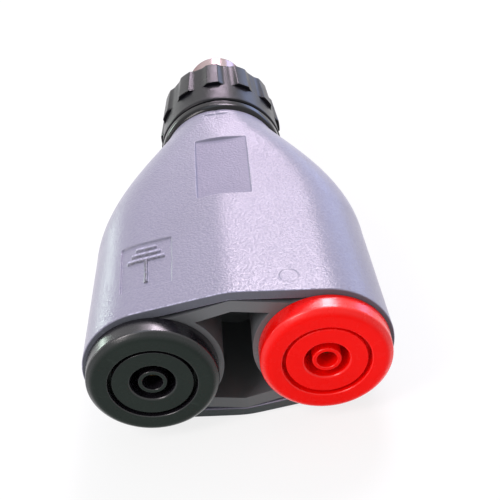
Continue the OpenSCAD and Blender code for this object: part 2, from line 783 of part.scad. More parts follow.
// A cut along one bayonet slot, from the entry to the end of the turn
slot_steps = 12;
slot_angle = 148;
module slot_cut(start) {
    y0 = rim_y - slot_entry_l;
    inner = sleeve_bore_r - 1;
    outer = sleeve_r + 1;
    half = slot_w / 2;
    climb = atan2(slot_rise, sleeve_r * slot_turn * PI / 180);
    pts = [for (i = [0:slot_steps], q = [[inner, -half], [outer, -half], [outer, half], [inner, half]])
        let (t = i / slot_steps,
             w = start + slot_turn * t + q[1] * sin(climb) / sleeve_r * 180 / PI,
             y = y0 - slot_rise * t + q[1] * cos(climb))
        [q[0] * cos(w), y, q[0] * sin(w)]];
    walls = [for (i = [0:slot_steps - 1], j = [0:3])
        let (k = (j + 1) % 4, p = i * 4 + j, r = i * 4 + k)
        each [[p, r + 4, r], [p, p + 4, r + 4]]];
    m = slot_steps * 4;
    caps = [[1, 2, 3], [0, 1, 3], [m + 2, m + 1, m], [m + 3, m + 2, m]];
    polyhedron(points = pts, faces = concat(walls, caps));
    for (e = [[start, y0, 0.1], [start + slot_turn, y0 - slot_rise, 0.2]])
        translate([0, e[1], 0]) rotate([0, -e[0], 0]) translate([inner + 0.5, 0, 0])
        rotate([0, 90, 0]) cylinder(r = half + e[2], h = outer - inner, $fn = 32);
}

// Sleeve with the bayonet slots, the room for the spring and the flange that turns on the journal
entry_depth = 0.75;
sleeve_back_r = 9.4;
spring_room_r = 6.6;
sleeve_step_y = ring_end_y - ring_front_t;
spring_room_end_y = journal_end_y + 0.3;
rim_bevel = 0.35;
module coupling_sleeve() {
    color(nickel) placed() difference() {
        turned([
            [journal_r + journal_gap, sleeve_back_y],
            [sleeve_back_r, sleeve_back_y],
            [sleeve_back_r, sleeve_step_y - slip],
            [sleeve_r, sleeve_step_y - slip],
            [sleeve_r, rim_y - rim_bevel],
            [sleeve_r - rim_bevel, rim_y],
            [sleeve_bore_r + rim_bevel, rim_y],
            [sleeve_bore_r, rim_y - rim_bevel],
            [sleeve_bore_r, spring_room_end_y],
            [spring_room_r, spring_room_end_y],
            [spring_room_r, sleeve_back_y + sleeve_flange_t],
            [journal_r + journal_gap, sleeve_back_y + sleeve_flange_t]], 0, 96);
        for (s = [slot_angle, slot_angle + 180]) {
            slot_cut(s);
            translate([0, rim_y - slot_entry_l, 0]) rotate([0, -s, 0])
            translate([0, 0, -slot_w / 2]) cube([sleeve_bore_r + entry_depth, slot_entry_l + past, slot_w]);
        }
    }
}

// Grip ring: a smooth skirt, and lobes that stand up from it at a step
valley_fall = (skirt_r - valley_r) / ring_l;
step_r = skirt_r - valley_fall * skirt_l;
ring_hollow_r = skirt_r - ring_wall;
hollow_end_y = sleeve_back_y - 0.5;
ring_round = 0.5;

// Cross-section of one lobe, which stands along +X: each flank rises gently and then steeply to the crest
knee_rise = 0.28;
knee_share = 0.5;
module lobe_outline() {
    root_r = valley_r - 1.5;
    top_r = step_r + 2;
    foot = lobe_foot_w / 2;
    crest = lobe_crest_w / 2;
    knee = foot + (crest - foot) * knee_share;
    half = [[root_r, foot], [valley_r - 0.1, foot], [step_r + lobe_h * knee_rise, knee],
            [step_r + lobe_h, crest], [top_r, crest]];
    polygon(concat([for (q = half) [q[0], -q[1]]], [for (i = [len(half) - 1:-1:0]) half[i]]));
}

module grip_ring() {
    color(black) placed() {
        turned([
            [ring_hollow_r, ring_y],
            [skirt_r - ring_round, ring_y],
            [skirt_r, ring_y + ring_round],
            [step_r, step_y],
            [valley_r, ring_end_y - ring_round],
            [valley_r - ring_round, ring_end_y],
            [sleeve_r + slip, ring_end_y],
            [sleeve_r + slip, sleeve_step_y],
            [sleeve_back_r + slip, sleeve_step_y],
            [sleeve_back_r + slip, hollow_end_y],
            [ring_hollow_r, hollow_end_y]], 0, 120);
        intersection() {
            turned([
                [valley_r - 2, step_y],
                [step_r + lobe_h, step_y],
                [valley_r + lobe_far_h, ring_end_y - ring_round],
                [valley_r + lobe_far_h - ring_round, ring_end_y],
                [valley_r - 2, ring_end_y]], 0, 120);
            at_y(step_y - past) for (i = [0:lobes - 1])
                rotate([0, 0, 90 + 360 * i / lobes])
                linear_extrude(ring_end_y - step_y + 2 * past) lobe_outline();
        }
    }
}

housing_shell();
socket_carrier();
black_flange();
black_socket_body();
black_contact();
black_nut();
red_flange();
red_socket_body();
red_contact();
red_nut();
neck_collar();
plug_body();
outer_contact();
dielectric();
centre_pin();
plug_nut();
lock_washer();
ground_tag();
signal_lead();
ground_lead();
sealing_gasket();
retaining_ring();
wave_spring();
thrust_washer();
coupling_sleeve();
grip_ring();
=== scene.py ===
import math

import bmesh
import bpy
from mathutils import Matrix, Vector


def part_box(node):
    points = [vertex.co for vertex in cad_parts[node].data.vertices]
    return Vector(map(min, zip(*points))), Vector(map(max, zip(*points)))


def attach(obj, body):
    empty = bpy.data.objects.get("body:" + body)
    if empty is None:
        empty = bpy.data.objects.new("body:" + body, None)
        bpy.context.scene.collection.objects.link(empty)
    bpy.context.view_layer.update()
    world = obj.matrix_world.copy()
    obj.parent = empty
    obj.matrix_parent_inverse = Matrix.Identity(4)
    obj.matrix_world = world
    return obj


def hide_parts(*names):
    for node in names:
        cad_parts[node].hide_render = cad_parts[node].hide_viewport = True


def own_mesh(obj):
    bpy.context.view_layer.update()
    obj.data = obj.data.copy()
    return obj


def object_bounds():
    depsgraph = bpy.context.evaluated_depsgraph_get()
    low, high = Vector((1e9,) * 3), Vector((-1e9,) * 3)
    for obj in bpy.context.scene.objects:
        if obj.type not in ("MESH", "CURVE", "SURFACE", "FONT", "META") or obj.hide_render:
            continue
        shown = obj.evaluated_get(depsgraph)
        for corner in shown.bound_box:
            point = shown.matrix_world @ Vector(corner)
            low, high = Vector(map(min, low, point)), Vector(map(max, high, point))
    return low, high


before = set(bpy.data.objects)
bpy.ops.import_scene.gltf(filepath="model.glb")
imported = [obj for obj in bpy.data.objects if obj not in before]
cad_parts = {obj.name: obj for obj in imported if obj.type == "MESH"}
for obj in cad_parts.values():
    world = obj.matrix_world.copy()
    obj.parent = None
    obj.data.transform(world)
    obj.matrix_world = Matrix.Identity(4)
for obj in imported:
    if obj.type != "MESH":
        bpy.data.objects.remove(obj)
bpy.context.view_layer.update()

MM = 0.001

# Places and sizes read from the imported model, in metres
nodes = {name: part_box(name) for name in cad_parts}


def low_y(name):
    return nodes[name][0].y


def high_y(name):
    return nodes[name][1].y


def radius_of(name):
    return (nodes[name][1].x - nodes[name][0].x) / 2


def middle_x(name):
    return (nodes[name][1].x + nodes[name][0].x) / 2


FLANGE_Y = low_y("red_flange")
FACE_Y = low_y("red_socket_body")
MOUTH_Y = high_y("red_flange")
NECK_Y = low_y("neck_collar")
SPIGOT_Y = high_y("neck_collar")
RING_Y = low_y("grip_ring")
RING_END_Y = high_y("grip_ring")
RIM_Y = high_y("coupling_sleeve")
TIP_Y = high_y("outer_contact")
SOCKET_X = middle_x("red_flange")
FLANGE_R = radius_of("red_flange")

# Housing, as in the CAD source
STRAIGHT_L = 31.8 * MM
SHOULDER_Y = MOUTH_Y + STRAIGHT_L
SHOULDER_L = NECK_Y - SHOULDER_Y
SIDE_R = 14.85 * MM
NECK_R = 14.2 * MM
ROOF_FALL = 0.132
FACET_FADE = 4
SIDE_INSET = 0.65 * MM
SIDE_X = SOCKET_X - SIDE_INSET
SIDE_DRAFT = 1.65 * MM
SHOULDER_POWER = 1.92
SHOULDER_FALL = 1.28
WALL = 2.3 * MM
STOP_Y = high_y("socket_carrier")
CARRIER_GAP = 0.15 * MM
CARRIER_R = 12.6 * MM
POCKET_R = CARRIER_R + CARRIER_GAP
CARRIER_X = nodes["socket_carrier"][1].x - CARRIER_R
SNAP_BACK = 6 * MM
SNAP_Y = STOP_Y - SNAP_BACK
SNAP_W = 12.1 * MM
SNAP_L = 2.5 * MM
SNAP_H = 0.4 * MM

# Gaps between pieces that touch, and between pieces that slide or snap in
FIT_GAP = 0.02 * MM
LOOSE_GAP = 0.05 * MM
# How far cutters reach past what they cut
PAST = 1 * MM


def mix(a, b, t):
    return a + (b - a) * t


def smooth(t):
    """Runs from 0 to 1 with no corner at either end."""
    t = min(1.0, max(0.0, t))
    return t * t * (3 - 2 * t)


def side_c(y):
    """Half distance between the centres of the housing's round sides at a place along its axis."""
    if y <= SHOULDER_Y:
        return SIDE_X - SIDE_DRAFT * (y - MOUTH_Y) / STRAIGHT_L
    t = min(1.0, (y - SHOULDER_Y) / SHOULDER_L)
    return (SIDE_X - SIDE_DRAFT) * (1 - t ** SHOULDER_POWER) ** SHOULDER_FALL


def side_radius(y):
    return mix(SIDE_R, NECK_R, (y - MOUTH_Y) / (NECK_Y - MOUTH_Y))


def fall_at(y):
    """Fall of the roof facets, which fade out where the housing becomes round."""
    return ROOF_FALL * (1 - (1 - side_c(y) / SIDE_X) ** FACET_FADE)


def ridge(c, r, fall):
    return r * math.sqrt(1 + fall * fall) + fall * c


def ridge_z(y):
    return ridge(side_c(y), side_radius(y), fall_at(y))


def reach(c, r, fall, a):
    """Distance from the axis to an outline of two round sides and four facets.

    The direction a lies in the first quarter.
    """
    touch = c + r * fall / math.sqrt(1 + fall * fall)
    to_facet = ridge(c, r, fall) / (math.sin(a) + fall * math.cos(a))
    if to_facet * math.cos(a) <= touch:
        return to_facet
    return c * math.cos(a) + math.sqrt(max(0.0, r * r - (c * math.sin(a)) ** 2))


def outline_point(c, r, fall, turn):
    """Point (x, z) of such an outline. Turn runs as on an ellipse, which spreads points evenly."""
    x = (c + r) * math.cos(turn)
    z = ridge(c, r, fall) * math.sin(turn)
    a = math.atan2(abs(z), abs(x))
    d = reach(c, r, fall, a)
    return math.copysign(d * math.cos(a), x), math.copysign(d * math.sin(a), z)


# Meshes

MERGE = 1e-7
HARD_CORNER = 35
FILLET_SHARE = 0.49


def object_from(name, verts, faces):
    mesh = bpy.data.meshes.new(name)
    mesh.from_pydata(verts, [], faces)
    mesh.update()
    piece = bpy.data.objects.new(name, mesh)
    bpy.context.collection.objects.link(piece)
    return piece


def hard_corners(piece, corner=HARD_CORNER):
    """Keeps edges above a corner angle, in degrees, hard in the shading."""
    piece.data.set_sharp_from_angle(angle=math.radians(corner))
    even = piece.modifiers.new("even_shading", "WEIGHTED_NORMAL")
    even.keep_sharp = True


def tidy_mesh(piece, corner=None):
    """Joins equal points, turns the faces outward and shades them smooth, but for hard corners."""
    bm = bmesh.new()
    bm.from_mesh(piece.data)
    bmesh.ops.remove_doubles(bm, verts=bm.verts, dist=MERGE)
    bmesh.ops.dissolve_degenerate(bm, dist=MERGE, edges=bm.edges)
    if bm.calc_volume(signed=True) < 0:
        bmesh.ops.reverse_faces(bm, faces=bm.faces)
    bm.to_mesh(piece.data)
    bm.free()
    for face in piece.data.polygons:
        face.use_smooth = True
    if corner:
        hard_corners(piece, corner)
    return piece


def grid_faces(rows, columns, wrap_rows):
    """Faces of a grid of points whose columns close on themselves."""
    faces = []
    for i in range(rows if wrap_rows else rows - 1):
        k = (i + 1) % rows
        for j in range(columns):
            m = (j + 1) % columns
            faces.append((i * columns + j, i * columns + m, k * columns + m, k * columns + j))
    return faces


def rounded(corners, steps=6):
    """Profile points from corners (radius, place along Y, fillet)."""
    points = []
    for i, (r, y, fillet) in enumerate(corners):
        p = Vector((r, y))
        if not fillet:
            points.append(p)
            continue
        ends = (corners[i - 1], corners[(i + 1) % len(corners)])
        before, after = (Vector(end[:2]) - p for end in ends)
        half = before.angle(after) / 2
        room = [
            way.length * (FILLET_SHARE if end[2] else 1) for way, end in zip((before, after), ends)]
        run = min(fillet / math.tan(half), *room)
        inward = (before.normalized() + after.normalized()).normalized()
        middle = p + inward * (run / math.cos(half))
        start = p + before.normalized() * run - middle
        end = p + after.normalized() * run - middle
        angle = start.angle(end)
        for k in range(steps + 1):
            t = k / steps
            arm = start * math.sin((1 - t) * angle) + end * math.sin(t * angle)
            points.append(middle + arm / math.sin(angle))
    return points


def turned(name, corners, x=0.0, sides=160, steps=6):
    """Closed profile of (radius, place along Y, fillet) corners, turned about an axis along Y."""
    profile = rounded(corners, steps)
    verts = []
    for r, y in profile:
        for j in range(sides):
            a = 2 * math.pi * j / sides
            verts.append((x + r * math.cos(a), y, r * math.sin(a)))
    piece = object_from(name, verts, grid_faces(len(profile), sides, True))
    return tidy_mesh(piece, corner=HARD_CORNER)


def swept(name, points, sides, corner=None):
    """Solid through a row of sections of that many points each, closed at both ends."""
    faces = grid_faces(len(points) // sides, sides, False)
    faces += [tuple(range(sides - 1, -1, -1)), tuple(range(len(points) - sides, len(points)))]
    return tidy_mesh(object_from(name, points, faces), corner)


def prism(name, outline, y0, y1):
    """Solid between two places along Y from an outline of (x, z) points."""
    return swept(name, [(x, y, z) for y in (y0, y1) for x, z in outline], len(outline))


def circle(x, r, sides=128):
    turns = [2 * math.pi * j / sides for j in range(sides)]
    return [(x + r * math.cos(a), r * math.sin(a)) for a in turns]


def rectangle(x0, z0, x1, z1):
    return [(x0, z0), (x1, z0), (x1, z1), (x0, z1)]


def quarter(steps):
    """Distances from the two walls of a corner that is rounded with radius 1, along the round."""
    turns = [math.pi / 2 * k / steps for k in range(steps + 1)]
    return [(1 - math.cos(a), 1 - math.sin(a)) for a in turns]


def combine(piece, tools, operation="DIFFERENCE"):
    """Cuts the tools from the piece, or joins or keeps what they share, and deletes the tools."""
    for tool in tools:
        step = piece.modifiers.new(operation.lower(), "BOOLEAN")
        step.operation = operation
        step.solver = "EXACT"
        step.object = tool
    bpy.context.view_layer.update()
    depsgraph = bpy.context.evaluated_depsgraph_get()
    made = bpy.data.meshes.new_from_object(piece.evaluated_get(depsgraph))
    piece.modifiers.clear()
    piece.data = made
    for tool in tools:
        bpy.data.objects.remove(tool)
    return piece


def dress(piece, material, body, slot, *replaced):
    piece.data.materials.clear()
    piece.data.materials.append(material)
    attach(piece, body)
    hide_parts(*replaced)


# Materials


def srgb(code):
    """Linear colour of a six-digit code."""
    parts = [int(code[i:i + 2], 16) / 255 for i in (0, 2, 4)]
    return tuple(c / 12.92 if c <= 0.04045 else ((c + 0.055) / 1.055) ** 2.4 for c in parts)


def shade(colour, factor):
    return tuple(min(1.0, c * factor) for c in colour)


class Nodes:
    """The node tree of a material or a world, with short ways to add to it."""

    def __init__(self, owner):
        owner.use_nodes = True
        self.tree = owner.node_tree

    def node(self, kind, **settings):
        made = self.tree.nodes.new(kind)
        for key, value in settings.items():
            setattr(made, key, value)
        return made

    def feed(self, socket, value):
        """Links another node's output to a socket, or sets the socket's own value."""
        if isinstance(value, bpy.types.NodeSocket):
            self.tree.links.new(value, socket)
        elif isinstance(value, tuple) and len(value) == 3 and socket.type == "RGBA":
            socket.default_value = (*value, 1)
        else:
            socket.default_value = value

    def math(self, operation, a, b):
        made = self.node("ShaderNodeMath", operation=operation)
        self.feed(made.inputs[0], a)
        self.feed(made.inputs[1], b)
        return made.outputs[0]

    def see_white(self):
        """1 for rays from the camera and for mirror and glass rays, which show the white around."""
        path = self.node("ShaderNodeLightPath")
        seen = self.math("MAXIMUM", path.outputs["Is Camera Ray"], path.outputs["Is Glossy Ray"])
        return self.math("MAXIMUM", seen, path.outputs["Is Transmission Ray"])

    def show(self, amount, a, b, output):
        """Makes a mix of two shaders the output of the tree."""
        made = self.node("ShaderNodeMixShader")
        for socket, value in zip(made.inputs, (amount, a, b)):
            self.feed(socket, value)
        self.feed(self.tree.nodes[output].inputs["Surface"], made.outputs[0])


class Finish(Nodes):
    """A node material round one Principled shader, with patterns placed in object coordinates."""

    def __init__(self, name, metallic=0.0, specular=0.5):
        self.material = bpy.data.materials.new(name)
        super().__init__(self.material)
        self.shader = self.tree.nodes["Principled BSDF"]
        self.shader.inputs["Metallic"].default_value = metallic
        self.shader.inputs["Specular IOR Level"].default_value = specular
        coordinates = self.node("ShaderNodeTexCoord")
        self.place = coordinates.outputs["Object"]
        self.facing = coordinates.outputs["Normal"]

    def noise(self, size, detail=2.0, stretch=None):
        """Noise with features about size metres across, stretched along the axes where asked."""
        place = self.place
        if stretch:
            mapping = self.node("ShaderNodeMapping")
            self.feed(mapping.inputs["Vector"], place)
            mapping.inputs["Scale"].default_value = stretch
            place = mapping.outputs["Vector"]
        made = self.node("ShaderNodeTexNoise")
        self.feed(made.inputs["Vector"], place)
        made.inputs["Scale"].default_value = 1 / size
        made.inputs["Detail"].default_value = detail
        return made.outputs["Fac"]

    def span(self, value, low, high, start=0.3, end=0.7, **settings):
        """Runs from low to high as the value runs from start to end."""
        made = self.node("ShaderNodeMapRange", **settings)
        ends = {"Value": value, "From Min": start, "From Max": end, "To Min": low, "To Max": high}
        for key, item in ends.items():
            self.feed(made.inputs[key], item)
        return made.outputs["Result"]

    def blend(self, amount, a, b):
        """Mix of two colours, which go in at the node's sockets 6 and 7 and come out at 2."""
        made = self.node("ShaderNodeMix", data_type="RGBA")
        self.feed(made.inputs[0], amount)
        self.feed(made.inputs[6], a)
        self.feed(made.inputs[7], b)
        return made.outputs[2]

    def axes(self, vector):
        split = self.node("ShaderNodeSeparateXYZ")
        self.feed(split.inputs[0], vector)
        return split.outputs

    def edges(self, start=0.53, end=0.62):
        """1 on outward edges and 0 elsewhere."""
        made = self.node("ShaderNodeNewGeometry")
        return self.span(made.outputs["Pointiness"], 0.0, 1.0, start, end)

    def relief(self, height, depth, edge_round=None):
        bump = self.node("ShaderNodeBump")
        bump.inputs["Distance"].default_value = depth
        self.feed(bump.inputs["Height"], height)
        if edge_round:
            bevel = self.node("ShaderNodeBevel", samples=4)
            bevel.inputs["Radius"].default_value = edge_round
            self.feed(bump.inputs["Normal"], bevel.outputs["Normal"])
        return bump.outputs["Normal"]

    def end_faces(self, start=0.93, end=0.995):
        """1 on faces square to the part's axis, which stay matt from the mould, and 0 elsewhere."""
        square = self.math("ABSOLUTE", self.axes(self.facing)["Y"], 0.0)
        return self.span(square, 0.0, 1.0, start, end)

    def patch(self, x, y, width, length):
        """1 over a rectangle of the upper side, as seen from above, and 0 elsewhere."""
        place = self.axes(self.place)
        inside = self.math("GREATER_THAN", place["Z"], 0.0)
        for value, middle, size in ((place["X"], x, width), (place["Y"], y, length)):
            off = self.math("ABSOLUTE", self.math("SUBTRACT", value, middle), 0.0)
            inside = self.math("MULTIPLY", inside, self.math("LESS_THAN", off, size / 2))
        return inside

    def wear(self, size=0.6 * MM):
        """Worn places: edges, broken up by noise."""
        broken = self.span(self.noise(size, 3), 0.0, 1.0, 0.42, 0.6)
        return self.math("MULTIPLY", self.edges(), broken)

    def set(self, colour, roughness, normal):
        self.feed(self.shader.inputs["Base Color"], colour)
        self.feed(self.shader.inputs["Roughness"], roughness)
        self.feed(self.shader.inputs["Normal"], normal)
        return self.material


# Patterns that all moulded plastics share
SHADE_SIZE = 14 * MM
FLECK_SIZE = 1.1 * MM
CLOUD_SIZE = 2.5 * MM
# Size of the noise that breaks up the patches of painted highlight and painted shade
PATCH_BREAKUP_SIZE = 0.5 * MM
# How far a patch of painted shade darkens the colour
PAINTED_SHADE_FACTOR = 0.35
PATCH_GLOSS = 0.15
SHEEN_ROUGHNESS = 0.3
LOW_SHADE = (0.03, 0.05, 0.03)
LOW_REACH = 6 * MM


def moulded(name, code, rough, grain, depth, variation=0.06, worn=1.5, wear=0.35, cloud=0.04,
            glints=0.0, matt_ends=None, matt_patch=None, end_shade=0.0, painted_side_shade=None, sheen=0.0,
            painted_highlights=(), painted_shades=(), **shine):
    """Moulded plastic: slow changes of shade, a spark-eroded grain and lighter worn edges.

    Where asked, the gloss glints with the grain and is low on the end faces or on a patch, the
    end faces take a painted shade that deepens towards the part's lower side, the other faces
    take a darker colour as painted shade, and listed patches carry painted highlights and shade.
    """
    f = Finish(name, **shine)
    gloss = f.shader.inputs["Specular IOR Level"]
    level = gloss.default_value
    if glints:
        level = f.span(f.noise(grain, 1), level * (1 - glints), level * (1 + glints))
    if matt_ends is not None:
        level = f.span(f.end_faces(0.45, 0.95), level, matt_ends, 0.0, 1.0)
    if matt_patch:
        level = f.span(f.patch(*matt_patch), level, PATCH_GLOSS, 0.0, 1.0)
    f.feed(gloss, level)
    f.shader.inputs["Sheen Weight"].default_value = sheen
    f.shader.inputs["Sheen Roughness"].default_value = SHEEN_ROUGHNESS
    colour = srgb(code)
    slow = f.span(f.noise(SHADE_SIZE, 3), 0.0, 1.0)
    base = f.blend(slow, shade(colour, 1 - variation), shade(colour, 1 + variation))
    flecks = f.span(f.noise(FLECK_SIZE, 3), 0.0, 0.3, 0.5, 0.75)
    base = f.blend(flecks, base, shade(colour, 1 + 2 * variation))
    base = f.blend(f.math("MULTIPLY", f.wear(), wear), base, shade(colour, worn))
    # Listed patches are lightened to the worn-edge tone as painted highlights, or darkened as
    # painted shade, broken up by noise
    patch_breakup = f.span(f.noise(PATCH_BREAKUP_SIZE, 2), 0.15, 0.75, 0.38, 0.58) if painted_highlights or painted_shades else None
    for places, factor in ((painted_highlights, worn), (painted_shades, PAINTED_SHADE_FACTOR)):
        for place in places:
            amount = f.math("MULTIPLY", f.patch(*place), patch_breakup)
            base = f.blend(amount, base, shade(colour, factor))
    # Faces other than the end faces take a darker colour: a painted shade on the sides
    if painted_side_shade:
        base = f.blend(f.end_faces(0.45, 0.98), srgb(painted_side_shade), base)
    if end_shade:
        height = f.axes(f.place)["Z"]
        amount = f.span(height, end_shade * 1.5, end_shade, -LOW_REACH, LOW_REACH)
        base = f.blend(f.math("MULTIPLY", f.end_faces(), amount), base, LOW_SHADE)
    roughness = f.span(f.noise(CLOUD_SIZE, 4), rough - cloud, rough + cloud)
    return f.set(base, roughness, f.relief(f.noise(grain, 2), depth))


# Patterns that all metals share
STAIN_SIZE = 3 * MM
TARNISH = 0.25
METAL_WEAR_SIZE = 0.4 * MM
METAL_CLOUD_SIZE = 1.2 * MM
TURNING_W = 0.16 * MM
TURNING_L = 40 * TURNING_W
TURNING_DEPTH = 0.004 * MM
METAL_EDGE = 0.06 * MM


def metal(name, code, rough, rim="FFFFFF"):
    """Turned metal: lines round the axis, slight stains, brighter edges and a tint edge-on."""
    f = Finish(name, metallic=1.0)
    f.feed(f.shader.inputs["Specular Tint"], srgb(rim))
    colour = srgb(code)
    stains = f.span(f.noise(STAIN_SIZE, 4), 0.0, TARNISH, 0.45, 0.75)
    base = f.blend(stains, colour, shade(colour, 0.72))
    worn = f.math("MULTIPLY", f.wear(METAL_WEAR_SIZE), 0.5)
    base = f.blend(worn, base, shade(colour, 1.12))
    roughness = f.span(f.noise(METAL_CLOUD_SIZE, 3), rough - 0.04, rough + 0.07)
    turning = f.noise(TURNING_L, 3, stretch=(1, TURNING_L / TURNING_W, 1))
    return f.set(base, roughness, f.relief(turning, TURNING_DEPTH, METAL_EDGE))


GREY = "868497"
DARK_GREY = "66686B"
BLACK = "252D29"
RED = "FF0A04"

carrier_grey = moulded(
    "carrier_grey", DARK_GREY, 0.44, 0.30 * MM, 0.014 * MM, variation=0.05, worn=1.6, wear=0.5,
    end_shade=0.08)
# The socket's side faces take a darker colour, a painted shade
socket_black = moulded(
    "socket_black", BLACK, 0.26, 0.45 * MM, 0.004 * MM, variation=0.10, worn=2.2, specular=0.8,
    matt_ends=0.08, painted_side_shade="17151A")
socket_red = moulded(
    "socket_red", RED, 0.26, 0.45 * MM, 0.004 * MM, variation=0.02, worn=1.15, specular=0.8,
    matt_ends=0.08)
collar_black = moulded(
    "collar_black", "0B0A0E", 0.19, 0.6 * MM, 0.003 * MM, variation=0.10, worn=2.0, specular=0.34)
# Its edges are lightened strongly: partly wear, partly a painted highlight on the rims
ring_black = moulded(
    "ring_black", "0B0A10", 0.31, 0.28 * MM, 0.012 * MM, variation=0.10, worn=3.0, wear=0.6,
    specular=0.24)
nickel = metal("nickel", "D2BFC0", 0.19, rim="8C7A7D")
# Darker brass for the contact tubes, which sit deep in the bores: a painted shade
shaded_contact_brass = metal("shaded_contact_brass", "5A4A2C", 0.40)
gold_brass = metal("gold_brass", "D9A94E", 0.24)
spring_steel = metal("spring_steel", "A9A8A6", 0.28)
dielectric_white = moulded(
    "dielectric_white", "EFEDE6", 0.42, 0.3 * MM, 0.004 * MM, variation=0.03, worn=1.02)
gasket_rubber = moulded(
    "gasket_rubber", "A8432F", 0.60, 0.2 * MM, 0.010 * MM, variation=0.08, worn=1.2)
lead_red = moulded("lead_red", "C81E17", 0.42, 0.4 * MM, 0.004 * MM, worn=1.2)
lead_black = moulded("lead_black", "1E1E20", 0.42, 0.4 * MM, 0.004 * MM, worn=1.8)

CARRIED_OVER = {
    "plug_body": nickel, "plug_nut": nickel, "lock_washer": spring_steel, "ground_tag": gold_brass,
    "signal_lead": lead_red, "ground_lead": lead_black, "retaining_ring": spring_steel,
    "thrust_washer": gold_brass, "black_nut": socket_black, "red_nut": socket_red,
}
for name, material in CARRIED_OVER.items():
    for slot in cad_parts[name].material_slots:
        slot.material = material


# Housing shell: one closed grid of sections, from the mouth to the neck and back inside

MOUTH_ROUND = 0.25 * MM
MOUTH_FLAT = 0.12 * MM
RIDGE_SOFT = 1.5 * MM
COLUMNS = 312
OUTER_ROWS = 112
INNER_ROWS = 12
SPIGOT_R = 12.4 * MM
SPIGOT_WALL = 2.4 * MM
END_WALL = 3.0 * MM
NECK_WALL_Y = NECK_Y - 0.9 * MM
SHANK_HOLE_R = 4.8 * MM


def soften(x, z, r):
    """Lowers the roof where the two facets meet, so that the ridge is a soft bend."""
    dip = ROOF_FALL * (math.sqrt(x * x + RIDGE_SOFT * RIDGE_SOFT) - abs(x))
    return z - dip * z / r


def outer_point(y, inset, turn):
    r = side_radius(y) - inset
    x, z = outline_point(side_c(y), r, fall_at(y), turn)
    return x, y, soften(x, z, r)


def outer_again(x, y, z):
    """The point of the outer surface in the direction of a point that lies a little off it."""
    r = side_radius(y)
    a = math.atan2(abs(z), abs(x))
    d = reach(side_c(y), r, fall_at(y), a)
    x, z = math.copysign(d * math.cos(a), x), math.copysign(d * math.sin(a), z)
    return x, y, soften(x, z, r)


# Marks on the roof, as depths below it. Places are seen from above, in metres from the origin
MARK_EDGE = 0.26 * MM
MARK_CORNER = 0.35 * MM
EARTH_X, EARTH_Y = -16.4 * MM, MOUTH_Y + 15 * MM
EARTH_W, EARTH_L = 10.8 * MM, 14.9 * MM
EARTH_DEPTH = 0.45 * MM
BAR_EDGE = 0.2 * MM
# The symbol's bars and stem, each as middle and size in mm from the middle of its panel
EARTH_BARS = ((0, 5.6, 4.4, 0.9), (0, 3.8, 6.2, 0.9), (0, 2.0, 8.0, 0.9), (0, -1.8, 0.7, 7.8))
PANEL_X, PANEL_Y = 0.8 * MM, SHOULDER_Y + 2.2 * MM
PANEL_W, PANEL_L = 11.8 * MM, 24.4 * MM
DISC_X, DISC_Y, DISC_R = 12.2 * MM, MOUTH_Y + 4.6 * MM, 1.95 * MM
DISC_DEPTH = 0.09 * MM
NECK_FLAT_X, NECK_FLAT_Y = 0.3 * MM, NECK_Y - 2.8 * MM
NECK_FLAT_W, NECK_FLAT_L = 6.4 * MM, 1.2 * MM
NECK_FLAT_DEPTH = 0.42 * MM

# Patches (middle x and y, width, length) that are lightened or darkened. Each bar gets a painted
# highlight on its far half and a painted shade on its near side; the stem's painted shade is
# doubled
# The mouth edge is lightened: partly wear, partly a painted highlight along the edge
MOUTH_WEAR_AND_HIGHLIGHT = (-2 * MM, MOUTH_Y + 0.16 * MM, 36 * MM, 0.24 * MM)
BARS_ACROSS = [(EARTH_X + a * MM, EARTH_Y + b * MM, w * MM) for a, b, w, _ in EARTH_BARS[:3]]
BAR_HIGHLIGHTS = [(x, y + 0.15 * MM, w, 0.6 * MM) for x, y, w in BARS_ACROSS]
BAR_SHADES = [(x, y - 0.5 * MM, w, 0.35 * MM) for x, y, w in BARS_ACROSS]
BAR_SHADES += [(EARTH_X, EARTH_Y - 2.1 * MM, 0.8 * MM, 7.4 * MM)] * 2


def inside_box(u, v, w, h, edge=MARK_EDGE, corner=MARK_CORNER):
    """1 within a w by h box round the middle, 0 outside, with a soft wall and rounded corners."""
    dx, dy = abs(u) - (w / 2 - corner), abs(v) - (h / 2 - corner)
    off = math.hypot(max(dx, 0), max(dy, 0)) + min(max(dx, dy), 0) - corner
    return smooth(0.5 - off / edge)


def earth_depth(x, y):
    u, v = (x - EARTH_X) * math.sqrt(1 + ROOF_FALL ** 2), y - EARTH_Y
    sunk = inside_box(u, v, EARTH_W, EARTH_L)
    if sunk:
        standing = max(
            inside_box(u - a * MM, v - b * MM, w * MM, h * MM, BAR_EDGE, BAR_EDGE)
            for a, b, w, h in EARTH_BARS)
        sunk *= 1 - standing
    return EARTH_DEPTH * sunk


def panel_floor(y):
    """Height of the blank panel's flat floor."""
    edge = PANEL_W / 2 + PANEL_X
    near = ridge_z(PANEL_Y) - fall_at(PANEL_Y) * edge - 0.2 * MM
    far = ridge_z(PANEL_Y + PANEL_L) - fall_at(PANEL_Y + PANEL_L) * edge - 0.1 * MM
    return mix(near, far, (y - PANEL_Y) / PANEL_L)


def panel_depth(x, y, z):
    sunk = inside_box(x - PANEL_X, y - PANEL_Y - PANEL_L / 2, PANEL_W, PANEL_L)
    return sunk * max(0.0, z - panel_floor(y)) if sunk else 0.0


def disc_depth(x, y):
    off = math.hypot(x - DISC_X, y - DISC_Y)
    return DISC_DEPTH * smooth(0.5 - (off - DISC_R) / MARK_EDGE)


def neck_flat_depth(x, y, z):
    sunk = inside_box(x - NECK_FLAT_X, y - NECK_FLAT_Y - NECK_FLAT_L / 2, NECK_FLAT_W, NECK_FLAT_L)
    return sunk * max(0.0, z - ridge_z(NECK_FLAT_Y) + NECK_FLAT_DEPTH) if sunk else 0.0


